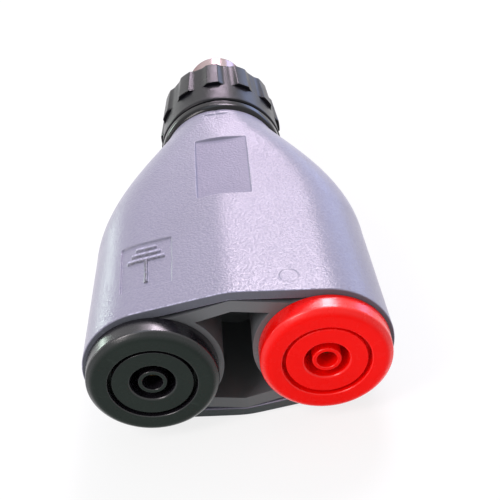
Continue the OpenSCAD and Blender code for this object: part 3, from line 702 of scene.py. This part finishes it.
def mark_depth(x, y, z):
    if z <= 0:
        return 0.0
    return max(earth_depth(x, y), panel_depth(x, y, z), disc_depth(x, y), neck_flat_depth(x, y, z))


MARK_BOXES = [
    (EARTH_X, EARTH_Y, EARTH_W, EARTH_L),
    (PANEL_X, PANEL_Y + PANEL_L / 2, PANEL_W, PANEL_L),
    (DISC_X, DISC_Y, 2 * DISC_R, 2 * DISC_R),
    (NECK_FLAT_X, NECK_FLAT_Y + NECK_FLAT_L / 2, NECK_FLAT_W, NECK_FLAT_L),
]
MARK_MARGIN = 0.8 * MM
MARK_CUTS = 4


def by_a_mark(p):
    return p.z > 0 and any(
        abs(p.x - x) < w / 2 + MARK_MARGIN and abs(p.y - y) < h / 2 + MARK_MARGIN
        for x, y, w, h in MARK_BOXES)


def ring_of(points):
    """One row of the grid: a function of the turn, at each column."""
    return [points(2 * math.pi * (j + 0.5) / COLUMNS) for j in range(COLUMNS)]


def outer_row(y, inset=0.0):
    return ring_of(lambda t: outer_point(y, inset, t))


def round_row(y, r):
    return ring_of(lambda a: (r * math.cos(a), y, r * math.sin(a)))


def pocket_row(y, inset=0.0, raised=0.0):
    def at(a):
        x, z = outline_point(CARRIER_X, POCKET_R - inset, ROOF_FALL, a)
        if raised and abs(x) < SNAP_W / 2:
            z += math.copysign(raised, z)
        return x, y, z
    return ring_of(at)


def shell_rows():
    """Rows of the shell and how many of them are the outer surface."""
    start = MOUTH_Y + MOUTH_ROUND
    rows = [outer_row(MOUTH_Y, MOUTH_ROUND + MOUTH_FLAT)]
    for back, inset in quarter(6):
        rows.append(outer_row(MOUTH_Y + MOUTH_ROUND * back, MOUTH_ROUND * inset))
    rows.append(outer_row(start + MOUTH_FLAT))
    for k in range(1, OUTER_ROWS + 1):
        rows.append(outer_row(mix(start, NECK_Y, k / OUTER_ROWS)))
    outer = len(rows)
    for y, r in (
        (NECK_Y, SPIGOT_R), (SPIGOT_Y, SPIGOT_R), (SPIGOT_Y, SHANK_HOLE_R),
        (SPIGOT_Y - END_WALL, SHANK_HOLE_R), (SPIGOT_Y - END_WALL, SPIGOT_R - SPIGOT_WALL),
        (NECK_WALL_Y, SPIGOT_R - SPIGOT_WALL),
    ):
        rows.append(round_row(y, r))
    for k in range(INNER_ROWS, -1, -1):
        t = math.sin(math.pi / 2 * k / INNER_ROWS)
        rows.append(outer_row(mix(SHOULDER_Y, NECK_WALL_Y, t), WALL))
    rows.append(outer_row(STOP_Y, WALL))
    for y, raised in (
        (STOP_Y, 0), (SNAP_Y + SNAP_L, 0), (SNAP_Y + SNAP_L, SNAP_H), (SNAP_Y, SNAP_H), (SNAP_Y, 0),
    ):
        rows.append(pocket_row(y, raised=raised))
    for wider, back in quarter(3):
        rows.append(pocket_row(MOUTH_Y + MOUTH_ROUND * back, inset=-MOUTH_ROUND * wider))
    rows.append(pocket_row(MOUTH_Y, inset=-MOUTH_ROUND - MOUTH_FLAT))
    return rows, outer


def make_shell():
    rows, outer = shell_rows()
    verts = [p for row in rows for p in row]
    piece = object_from("moulded_shell", verts, grid_faces(len(rows), COLUMNS, True))
    bm = bmesh.new()
    bm.from_mesh(piece.data)
    bm.faces.ensure_lookup_table()
    marked = [f for f in bm.faces[:(outer - 1) * COLUMNS] if by_a_mark(f.calc_center_median())]
    edges = list({e for f in marked for e in f.edges})
    bmesh.ops.subdivide_edges(bm, edges=edges, cuts=MARK_CUTS, use_grid_fill=True)
    for i, v in enumerate(bm.verts):
        if i >= len(verts):
            v.co = outer_again(*v.co)
        elif i >= outer * COLUMNS:
            continue
        if by_a_mark(v.co):
            v.co.z -= mark_depth(*v.co)
    bm.to_mesh(piece.data)
    bm.free()
    return tidy_mesh(piece)


# Its edges are lightened strongly: partly wear, partly a painted highlight along the edges
housing_grey = moulded(
    "housing_grey", GREY, 0.31, 0.50 * MM, 0.10 * MM, variation=0.03, worn=2.3, wear=0.8,
    cloud=0.015, glints=0.45, matt_ends=0.10,
    matt_patch=(PANEL_X, PANEL_Y + PANEL_L / 2, PANEL_W, PANEL_L), end_shade=0.52, sheen=0.12,
    painted_highlights=BAR_HIGHLIGHTS + [MOUTH_WEAR_AND_HIGHLIGHT], painted_shades=BAR_SHADES, specular=0.62)
dress(make_shell(), housing_grey, "adapter", "housing_grey", "housing_shell")


# Socket carrier: the insert with a cup round each socket and the hollow between them

CARRIER_FALL = 0.215
POCKET_RIDGE = ridge(CARRIER_X, POCKET_R, ROOF_FALL)
CARRIER_RIDGE = POCKET_RIDGE - CARRIER_GAP
CARRIER_ROOF = 2.8 * MM
CARRIER_BACK = 2.0 * MM
CUP_R = 14.5 * MM
CUP_WALL = 1.3 * MM
CUP_FLOOR = 3.0 * MM
BARREL_R = 6.4 * MM
RIB_T = 2 * MM
CARRIER_EDGE = 0.22 * MM


def facets(top, width):
    low = top - CARRIER_FALL * width
    return [(0, top), (-width, low), (-width, -low), (0, -top), (width, -low), (width, low)]


def carrier_outline(inset, sides=256):
    """Two round sides with steeper facets between them, from the middle outwards."""
    points = []
    top, r = CARRIER_RIDGE - inset, CARRIER_R - inset
    for j in range(sides):
        turn = 2 * math.pi * (j + 0.5) / sides
        x, z = math.cos(turn), math.sin(turn)
        a = math.atan2(abs(top * z), abs((CARRIER_X + r) * x))
        under = r * r - (CARRIER_X * math.sin(a)) ** 2
        d = CARRIER_X * math.cos(a) + math.sqrt(under) if under > 0 else 0.0
        to_facet = top / (math.sin(a) + CARRIER_FALL * math.cos(a))
        if to_facet * math.cos(a) <= CARRIER_X:
            d = max(d, to_facet)
        points.append((math.copysign(d * math.cos(a), x), math.copysign(d * math.sin(a), z)))
    return points


def make_carrier():
    body = prism("socket_insert", carrier_outline(0), MOUTH_Y, STOP_Y)
    hollow_outline = facets(CARRIER_RIDGE - CARRIER_ROOF, SOCKET_X)
    hollow = prism("hollow", hollow_outline, MOUTH_Y - PAST, STOP_Y - CARRIER_BACK)
    combine(hollow, [
        prism("cup", circle(x, CUP_R), MOUTH_Y - 2 * PAST, STOP_Y + PAST)
        for x in (-SOCKET_X, SOCKET_X)])
    cutters = [hollow]
    for x in (-SOCKET_X, SOCKET_X):
        room = prism("room", circle(x, CUP_R - CUP_WALL), MOUTH_Y + CUP_FLOOR, STOP_Y + PAST)
        within = prism("within", carrier_outline(CUP_WALL), MOUTH_Y, STOP_Y + 2 * PAST)
        combine(room, [within], "INTERSECT")
        hole = prism("hole", circle(x, BARREL_R), MOUTH_Y - PAST, MOUTH_Y + CUP_FLOOR + PAST)
        cutters += [room, hole]
    combine(body, cutters)
    snap_top = CARRIER_RIDGE + SNAP_H
    combine(body, [
        prism("rib", rectangle(-SNAP_W / 2, z, SNAP_W / 2, z + RIB_T),
              SNAP_Y + LOOSE_GAP, SNAP_Y + SNAP_L - LOOSE_GAP)
        for z in (snap_top - RIB_T, -snap_top)], "UNION")
    tidy_mesh(body)
    edge = body.modifiers.new("edges", "BEVEL")
    edge.width = CARRIER_EDGE
    edge.segments = 3
    edge.limit_method = "ANGLE"
    edge.angle_limit = math.radians(40)
    hard_corners(body)
    return body


dress(make_carrier(), carrier_grey, "adapter", "carrier_grey", "socket_carrier")


# Sockets

GROOVE_R = 9.0 * MM
DISC_FRONT_R = 8.25 * MM
DISC_T = 2.8 * MM
FRONT_BEVEL = 1.2 * MM
RECESS_R = 4.5 * MM
RECESS_L = 18.0 * MM
RECESS_CHAMFER = 0.4 * MM
BOSS_R = 2.95 * MM
BOSS_BACK = 0.3 * MM
BORE_R = 2.0 * MM
BORE_L = 22.0 * MM
LINING_BACK = 0.06 * MM
CONTACT_R = 2.45 * MM
CONTACT_LEAD_IN = 0.25 * MM
CONTACT_COLLAR_R = 3.4 * MM
CONTACT_COLLAR_T = 1 * MM
CUP_FROM_COLLAR = 2.5 * MM
SOLDER_BORE_R = 1.15 * MM
SOLDER_CUP_R = 1.75 * MM


def make_socket(colour, material):
    """The flange ring, the body with its disc and boss, and the contact tube of one socket."""
    x = middle_x(f"{colour}_flange")
    slot = f"socket_{colour}"
    contact_y, end_y = low_y(f"{colour}_contact"), high_y(f"{colour}_contact")
    back_y = high_y(f"{colour}_socket_body")
    flange = turned(f"{colour}_flange_ring", [
        (GROOVE_R, FLANGE_Y, 0.4 * MM),
        (FLANGE_R - FRONT_BEVEL, FLANGE_Y, 2.0 * MM),
        (FLANGE_R, FLANGE_Y + FRONT_BEVEL, 0.8 * MM),
        (FLANGE_R, MOUTH_Y, 0.3 * MM),
        (BARREL_R + LOOSE_GAP, MOUTH_Y, 0),
        (BARREL_R + LOOSE_GAP, FACE_Y + DISC_T, 0),
        (GROOVE_R, FACE_Y + DISC_T, 0.1 * MM)], x, 192, 9)
    dress(flange, material, "adapter", slot, f"{colour}_flange")
    tube_r = CONTACT_R + LOOSE_GAP
    lining_r = BORE_R + LINING_BACK
    body = turned(f"{colour}_insulator", [
        (lining_r, FACE_Y + BOSS_BACK, 0.3 * MM),
        (BOSS_R, FACE_Y + BOSS_BACK, 0.3 * MM),
        (BOSS_R, FACE_Y + RECESS_L, 0),
        (RECESS_R, FACE_Y + RECESS_L, 0),
        (RECESS_R, FACE_Y + RECESS_CHAMFER, 0.6 * MM),
        (RECESS_R + RECESS_CHAMFER, FACE_Y, 0.5 * MM),
        (DISC_FRONT_R, FACE_Y, 0.28 * MM),
        (DISC_FRONT_R, FACE_Y + DISC_T, 0),
        (BARREL_R, FACE_Y + DISC_T, 0),
        (BARREL_R, back_y, 0.3 * MM),
        (tube_r, back_y, 0),
        (tube_r, contact_y, 0),
        (lining_r, contact_y, 0)], x, 160)
    dress(body, material, "adapter", slot, f"{colour}_socket_body")
    bore_end = contact_y + BORE_L + CONTACT_LEAD_IN
    contact = turned(f"{colour}_contact_tube", [
        (BORE_R, contact_y, 0.22 * MM),
        (BORE_R, bore_end, 0),
        (0, bore_end, 0),
        (0, back_y + CUP_FROM_COLLAR, 0),
        (SOLDER_BORE_R, back_y + CUP_FROM_COLLAR, 0),
        (SOLDER_BORE_R, end_y, 0.1 * MM),
        (SOLDER_CUP_R, end_y, 0.1 * MM),
        (SOLDER_CUP_R, back_y + CONTACT_COLLAR_T, 0.15 * MM),
        (CONTACT_COLLAR_R, back_y + CONTACT_COLLAR_T, 0.15 * MM),
        (CONTACT_COLLAR_R, back_y, 0.15 * MM),
        (CONTACT_R, back_y, 0),
        (CONTACT_R, contact_y, 0.1 * MM)], x, 96)
    dress(contact, shaded_contact_brass, "adapter", "gold_brass", f"{colour}_contact")


make_socket("black", socket_black)
make_socket("red", socket_red)


# Glossy bead round the end of the neck

COLLAR_R = radius_of("neck_collar")
COLLAR_BORE_R = SPIGOT_R + FIT_GAP
bead = turned("neck_bead", [
    (COLLAR_BORE_R, NECK_Y, 0),
    (COLLAR_R, NECK_Y, 1.75 * MM),
    (COLLAR_R, SPIGOT_Y, 0.6 * MM),
    (COLLAR_BORE_R, SPIGOT_Y, 0)], sides=240, steps=16)
dress(bead, collar_black, "adapter", "ring_black", "neck_collar")


# Grip ring: a smooth skirt, and lobes that stand up from it at a step

SKIRT_L = 7.7 * MM
SKIRT_R = 15.0 * MM
VALLEY_R = 13.65 * MM
STEP_Y = RING_Y + SKIRT_L
LOBES = 12
LOBE_H = 0.8 * MM
LOBE_FAR_H = 0.55 * MM
LOBE_FOOT = 3.0 * MM
LOBE_CREST = 1.4 * MM
LOBE_HOLLOW = 1.85
RING_ROUND = 0.5 * MM
RING_HOLLOW_R = 12.7 * MM
SLEEVE_R = 7.25 * MM
SLEEVE_BACK_R = 9.4 * MM
SLEEVE_STEP_Y = RING_END_Y - 3.8 * MM
SLEEVE_BACK_Y = low_y("coupling_sleeve")
BORE_CHAMFER = 0.3 * MM
BORE_PAST_FLANGE = 0.5 * MM
LOBE_BITE = 0.12 * MM
LOBE_COLUMNS = 44


def lobe(a, r):
    """Share of the lobe's height in a direction, from 0 in the valleys to 1 on the crests."""
    pitch = 2 * math.pi / LOBES
    off = abs((a - math.pi / 2 + pitch / 2) % pitch - pitch / 2) * r
    return min(1.0, max(0.0, (LOBE_FOOT - off) / (LOBE_FOOT - LOBE_CREST))) ** LOBE_HOLLOW


def make_grip_ring():
    columns = LOBES * LOBE_COLUMNS
    angles = [2 * math.pi * j / columns for j in range(columns)]
    rows = []

    def row(y, r, height=0):
        rows.append([(r + height * lobe(a, r), y, a) for a in angles])

    def base(y):
        return mix(SKIRT_R, VALLEY_R, (y - RING_Y) / (RING_END_Y - RING_Y))

    for back, inset in quarter(6):
        row(RING_Y + RING_ROUND * back, base(RING_Y) - RING_ROUND * inset)
    for k in range(1, 9):
        y = mix(RING_Y + RING_ROUND, STEP_Y, k / 8)
        row(y, base(y))
    row(STEP_Y, base(STEP_Y), LOBE_H - LOBE_BITE)
    for k in range(13):
        y = mix(STEP_Y + LOBE_BITE, RING_END_Y - RING_ROUND, k / 12)
        row(y, base(y), mix(LOBE_H, LOBE_FAR_H, k / 12))
    for inset, back in quarter(6)[1:]:
        y = RING_END_Y - RING_ROUND * back
        row(y, base(y) - RING_ROUND * inset, LOBE_FAR_H)
    bore_r, back_bore_r = SLEEVE_R + FIT_GAP, SLEEVE_BACK_R + FIT_GAP
    for y, r in (
        (RING_END_Y, bore_r + BORE_CHAMFER), (RING_END_Y - BORE_CHAMFER, bore_r),
        (SLEEVE_STEP_Y, bore_r), (SLEEVE_STEP_Y, back_bore_r),
        (SLEEVE_BACK_Y - BORE_PAST_FLANGE, back_bore_r),
        (SLEEVE_BACK_Y - BORE_PAST_FLANGE, RING_HOLLOW_R), (RING_Y, RING_HOLLOW_R),
    ):
        row(y, r)
    verts = [(r * math.cos(a), y, r * math.sin(a)) for points in rows for r, y, a in points]
    piece = object_from("fluted_grip_ring", verts, grid_faces(len(rows), columns, True))
    return tidy_mesh(piece, corner=38)


dress(make_grip_ring(), ring_black, "coupling", "ring_black", "grip_ring")


# Coupling sleeve with its two bayonet slots

SLEEVE_BORE_R = 4.9 * MM
SLOT_W = 2.3 * MM
SLOT_ENTRY = 2.6 * MM
SLOT_RISE = 3.9 * MM
SLOT_TURN = math.radians(84)
SLOT_START = math.radians(148)
ENTRY_DEPTH = 0.75 * MM
JOURNAL_R = 5.06 * MM
SPRING_ROOM_R = 6.6 * MM
SLEEVE_FLANGE_T = 2.8 * MM
SPRING_ROOM_END = high_y("retaining_ring") + 0.92 * MM


def slot_cutter(start, steps=48, sides=48):
    """Cutters of one slot: a tube of four-sided sections along it, and a round at each end."""
    y0 = RIM_Y - SLOT_ENTRY
    climb = math.atan2(SLOT_RISE, SLEEVE_R * SLOT_TURN)
    half = SLOT_W / 2
    points = []
    for i in range(steps + 1):
        t = i / steps
        for r, off in rectangle(SLEEVE_BORE_R - PAST, -half, SLEEVE_R + PAST, half):
            w = start + SLOT_TURN * t + off * math.sin(climb) / SLEEVE_R
            y = y0 - SLOT_RISE * t + off * math.cos(climb)
            points.append((r * math.cos(w), y, r * math.sin(w)))
    cutters = [swept("slot", points, 4)]
    for angle, y, wider in ((start, y0, 0.1 * MM), (start + SLOT_TURN, y0 - SLOT_RISE, 0.2 * MM)):
        way = Vector((math.cos(angle), 0, math.sin(angle)))
        side = Vector((-math.sin(angle), 0, math.cos(angle)))
        points = [
            way * r + side * u + Vector((0, y + v, 0))
            for r in (SLEEVE_BORE_R - PAST / 2, SLEEVE_R + 1.5 * PAST)
            for u, v in circle(0, half + wider, sides)
        ]
        cutters.append(swept("slot_end", points, sides))
    return cutters


def make_sleeve():
    step_y = SLEEVE_STEP_Y - FIT_GAP
    room_y = SLEEVE_BACK_Y + SLEEVE_FLANGE_T
    sleeve = turned("bayonet_sleeve", [
        (JOURNAL_R, SLEEVE_BACK_Y, 0.2 * MM),
        (SLEEVE_BACK_R, SLEEVE_BACK_Y, 0.2 * MM),
        (SLEEVE_BACK_R, step_y, 0.1 * MM),
        (SLEEVE_R, step_y, 0),
        (SLEEVE_R, RIM_Y, 1.6 * MM),
        (SLEEVE_BORE_R, RIM_Y, 0.35 * MM),
        (SLEEVE_BORE_R, SPRING_ROOM_END, 0),
        (SPRING_ROOM_R, SPRING_ROOM_END, 0),
        (SPRING_ROOM_R, room_y, 0),
        (JOURNAL_R, room_y, 0)], sides=180)
    sleeve.modifiers.clear()
    cutters = []
    for start in (SLOT_START, SLOT_START + math.pi):
        cutters += slot_cutter(start)
        outline = rectangle(0, -SLOT_W / 2, SLEEVE_BORE_R + ENTRY_DEPTH, SLOT_W / 2)
        entry = prism("entry", outline, RIM_Y - SLOT_ENTRY, RIM_Y + PAST)
        entry.data.transform(Matrix.Rotation(-start, 4, "Y"))
        cutters.append(entry)
    combine(sleeve, cutters)
    return tidy_mesh(sleeve, corner=HARD_CORNER)


dress(make_sleeve(), nickel, "coupling", "nickel", "coupling_sleeve")


# Contacts and insulator inside the sleeve

CONTACT_OUT_R = radius_of("outer_contact")
CONTACT_IN_R = CONTACT_OUT_R - 0.6 * MM
CONTACT_ROOT_R = CONTACT_OUT_R - 0.2 * MM
FINGER_SLOT = 0.5 * MM
FINGER_L = 7.5 * MM
NOSE_Y = low_y("sealing_gasket")
GASKET_END = high_y("sealing_gasket")


def make_outer_contact():
    root_y = low_y("outer_contact")
    contact = turned("finger_contact", [
        (CONTACT_IN_R, root_y, 0),
        (CONTACT_ROOT_R, root_y, 0),
        (CONTACT_ROOT_R, GASKET_END, 0),
        (CONTACT_OUT_R, GASKET_END, 0.08 * MM),
        (CONTACT_OUT_R, TIP_Y, 0.18 * MM),
        (CONTACT_IN_R, TIP_Y, 0.18 * MM)], sides=128)
    contact.modifiers.clear()
    wide, half = CONTACT_OUT_R + PAST, FINGER_SLOT / 2
    cutters = []
    for angle in (45, 135):
        outline = rectangle(-wide, -half, wide, half)
        cutter = prism("finger_slot", outline, TIP_Y - FINGER_L, TIP_Y + PAST)
        cutter.data.transform(Matrix.Rotation(-math.radians(angle), 4, "Y"))
        cutters.append(cutter)
    combine(contact, cutters)
    return tidy_mesh(contact, corner=HARD_CORNER)


dress(make_outer_contact(), nickel, "adapter", "nickel", "outer_contact")

PIN_R = 0.675 * MM
PIN_BACK_R = 1.5 * MM
PIN_STEP_Y = NOSE_Y - 8 * MM
PIN_CUP_L = 4 * MM
PIN_CUP_WALL_L = 6 * MM
PIN_POINT_R = 0.3 * MM
PIN_POINT_L = 0.9 * MM
CORE_R = 3.0 * MM
INSULATOR_NOSE_R = 2.35 * MM
INSULATOR_FACE_Y = NOSE_Y + 2.4 * MM
insulator = turned("plug_insulator", [
    (PIN_BACK_R + FIT_GAP, low_y("dielectric"), 0),
    (CORE_R - FIT_GAP, low_y("dielectric"), 0.2 * MM),
    (CORE_R - FIT_GAP, low_y("outer_contact"), 0),
    (CONTACT_IN_R - FIT_GAP, low_y("outer_contact"), 0),
    (CONTACT_IN_R - FIT_GAP, INSULATOR_FACE_Y, 0.1 * MM),
    (INSULATOR_NOSE_R, INSULATOR_FACE_Y, 0.1 * MM),
    (INSULATOR_NOSE_R, high_y("dielectric"), 0.3 * MM),
    (PIN_R + FIT_GAP, high_y("dielectric"), 0.1 * MM),
    (PIN_R + FIT_GAP, PIN_STEP_Y, 0),
    (PIN_BACK_R + FIT_GAP, PIN_STEP_Y, 0)], sides=128)
dress(insulator, dielectric_white, "adapter", "dielectric_white", "dielectric")

pin_back, pin_tip = low_y("centre_pin"), high_y("centre_pin")
pin = turned("plug_pin", [
    (0, pin_back + PIN_CUP_L, 0),
    (SOLDER_BORE_R, pin_back + PIN_CUP_L, 0),
    (SOLDER_BORE_R, pin_back, 0.1 * MM),
    (SOLDER_CUP_R, pin_back, 0.1 * MM),
    (SOLDER_CUP_R, pin_back + PIN_CUP_WALL_L, 0.15 * MM),
    (PIN_BACK_R, pin_back + PIN_CUP_WALL_L, 0),
    (PIN_BACK_R, PIN_STEP_Y, 0.1 * MM),
    (PIN_R, PIN_STEP_Y, 0),
    (PIN_R, pin_tip - PIN_POINT_L, 0.6 * MM),
    (PIN_POINT_R, pin_tip, 0.15 * MM),
    (0, pin_tip, 0)], sides=64)
dress(pin, gold_brass, "adapter", "gold_brass", "centre_pin")

GASKET_R = radius_of("sealing_gasket")
gasket = turned("soft_gasket", [
    (CONTACT_ROOT_R + LOOSE_GAP, NOSE_Y, 0.1 * MM),
    (GASKET_R, NOSE_Y, 0.1 * MM),
    (GASKET_R, GASKET_END, 0.35 * MM),
    (CONTACT_ROOT_R + LOOSE_GAP, GASKET_END, 0.2 * MM)], sides=128)
dress(gasket, gasket_rubber, "adapter", "gasket_rubber", "sealing_gasket")


# Wave spring behind the retaining ring. The thrust washer presses it as the coupling moves out

SPRING_TURNS = 3
SPRING_STEPS = 120 * SPRING_TURNS
SPRING_WAVES = 2.5
SPRING_WAVE_H = 0.2 * MM
WIRE_T, WIRE_W = 0.3 * MM, 0.95 * MM
WIRE_ROUND = 0.07 * MM
SPRING_Y, SPRING_END = low_y("wave_spring"), high_y("wave_spring")
SPRING_R = radius_of("wave_spring")


def make_spring():
    a, b = WIRE_W / 2, WIRE_T / 2
    section = [
        (-a + WIRE_ROUND, -b), (a - WIRE_ROUND, -b), (a, -b + WIRE_ROUND), (a, b - WIRE_ROUND),
        (a - WIRE_ROUND, b), (-a + WIRE_ROUND, b), (-a, b - WIRE_ROUND), (-a, -b + WIRE_ROUND)]
    start = SPRING_Y + WIRE_T / 2 + SPRING_WAVE_H
    lift = SPRING_END - SPRING_Y - WIRE_T - 2 * SPRING_WAVE_H
    middle_r = SPRING_R - WIRE_W / 2
    points = []
    for i in range(SPRING_STEPS + 1):
        t = i / SPRING_STEPS
        turn = 2 * math.pi * SPRING_TURNS * t
        y = start + lift * t + SPRING_WAVE_H * math.sin(SPRING_WAVES * turn)
        for u, v in section:
            r = middle_r + u
            points.append((r * math.cos(turn), y + v, r * math.sin(turn)))
    return swept("pressed_spring", points, len(section), corner=60)


spring = make_spring()
dress(spring, spring_steel, "adapter", "spring_steel", "wave_spring")
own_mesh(spring)


# Floor, lights and camera

part_low, part_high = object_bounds()
FLOOR_R = 3.0
FLOOR_TONE = (0.92, 0.92, 0.92)
SHADOW_FROM, SHADOW_TO = 0.12, 0.45
NEAR_WHITE = 0.80
WORLD_LEVEL = 0.44
WORLD_TONE = (0.95, 1.0, 0.97)


def floor_material():
    """Pale floor that keeps a faint shadow near the part and is plain white further off."""
    f = Finish("pale_floor", specular=0.0)
    f.feed(f.shader.inputs["Base Color"], FLOOR_TONE)
    f.shader.inputs["Roughness"].default_value = 1.0
    length = f.node("ShaderNodeVectorMath", operation="LENGTH")
    f.feed(length.inputs[0], f.place)
    away = f.span(
        length.outputs["Value"], NEAR_WHITE, 1.0, SHADOW_FROM, SHADOW_TO,
        interpolation_type="SMOOTHSTEP")
    glow = f.node("ShaderNodeEmission")
    amount = f.math("MULTIPLY", away, f.see_white())
    f.show(amount, f.shader.outputs[0], glow.outputs[0], "Material Output")
    return f.material


floor_middle = Vector((0, (part_low.y + part_high.y) / 2, part_low.z))
floor_sides = 96
floor = object_from(
    "studio_floor", [(x, y, 0) for x, y in circle(0, FLOOR_R, floor_sides)],
    [tuple(range(floor_sides))])
floor.location = floor_middle
floor.data.materials.append(floor_material())

world = bpy.data.worlds.new("studio")
bpy.context.scene.world = world
sky = Nodes(world)
background = sky.tree.nodes["Background"]
sky.feed(background.inputs["Color"], WORLD_TONE)
background.inputs["Strength"].default_value = WORLD_LEVEL
white = sky.node("ShaderNodeBackground")
sky.feed(white.inputs["Color"], (1, 1, 1))
sky.show(sky.see_white(), background.outputs[0], white.outputs[0], "World Output")


def softbox(name, bearing, elevation, distance, size, watts, colour):
    """Area lamp aimed at the part. Bearing is counted from +Y towards +X, lengths in metres."""
    b, e = math.radians(bearing), math.radians(elevation)
    way = Vector((math.sin(b) * math.cos(e), math.cos(b) * math.cos(e), math.sin(e)))
    data = bpy.data.lights.new(name, "AREA")
    data.shape = "RECTANGLE"
    data.size, data.size_y = size
    data.energy = watts
    data.color = colour
    lamp = bpy.data.objects.new(name, data)
    lamp.location = floor_middle + way * distance
    lamp.rotation_mode = "QUATERNION"
    lamp.rotation_quaternion = way.to_track_quat("Z", "Y")
    lamp.visible_camera = False
    bpy.context.collection.objects.link(lamp)


softbox("key_behind_right", 20, 51, 0.85, (0.24, 0.28), 4.5, (1.0, 0.86, 1.0))
softbox("low_behind_left", -48, 4, 0.8, (0.34, 0.12), 1.1, (0.82, 1.0, 0.88))
softbox("low_behind_right", 43, 9, 0.8, (0.70, 0.20), 1.2, (0.36, 0.50, 1.0))
softbox("ring_glow", 4, 22, 0.85, (0.20, 0.12), 0.95, (1.0, 0.80, 1.0))
softbox("top", -20, 78, 0.9, (0.5, 0.5), 1.1, (0.70, 0.82, 1.0))
softbox("front_left", -129, 48, 0.95, (0.26, 0.42), 3.9, (1.0, 0.92, 0.94))
softbox("flange_glow", -1, 41, 0.85, (0.18, 0.10), 0.40, (1.0, 0.85, 1.0))
softbox("left_side", -85, 12, 0.8, (0.25, 0.25), 0.3, (1.0, 0.98, 1.0))

# The photograph's viewpoint, found from the places of the part's outlines in it
CAMERA_AT = Vector((10.79, -287.75, 165.56)) * MM
CAMERA_AZIMUTH, CAMERA_ELEVATION, CAMERA_ROLL = (math.radians(v) for v in (1.709, 38.071, -8.61))
SENSOR = 36.0
FOCAL_SHARE = 2.4

back = Vector((
    math.sin(CAMERA_AZIMUTH) * math.cos(CAMERA_ELEVATION),
    -math.cos(CAMERA_AZIMUTH) * math.cos(CAMERA_ELEVATION),
    math.sin(CAMERA_ELEVATION)))
level = Vector((math.cos(CAMERA_AZIMUTH), math.sin(CAMERA_AZIMUTH), 0))
upright = level.cross(-back)
right = level * math.cos(CAMERA_ROLL) + upright * math.sin(CAMERA_ROLL)
up = upright * math.cos(CAMERA_ROLL) - level * math.sin(CAMERA_ROLL)
camera_data = bpy.data.cameras.new("camera")
camera_data.sensor_width = SENSOR
camera_data.lens = SENSOR * FOCAL_SHARE
camera_data.clip_start = 0.01
camera = bpy.data.objects.new("camera", camera_data)
camera.matrix_world = (
    Matrix.Translation(CAMERA_AT) @ Matrix((right, up, back)).transposed().to_4x4())
bpy.context.collection.objects.link(camera)
bpy.context.scene.camera = camera
bpy.context.scene.view_settings.view_transform = "Standard"

bpy.context.view_layer.update()
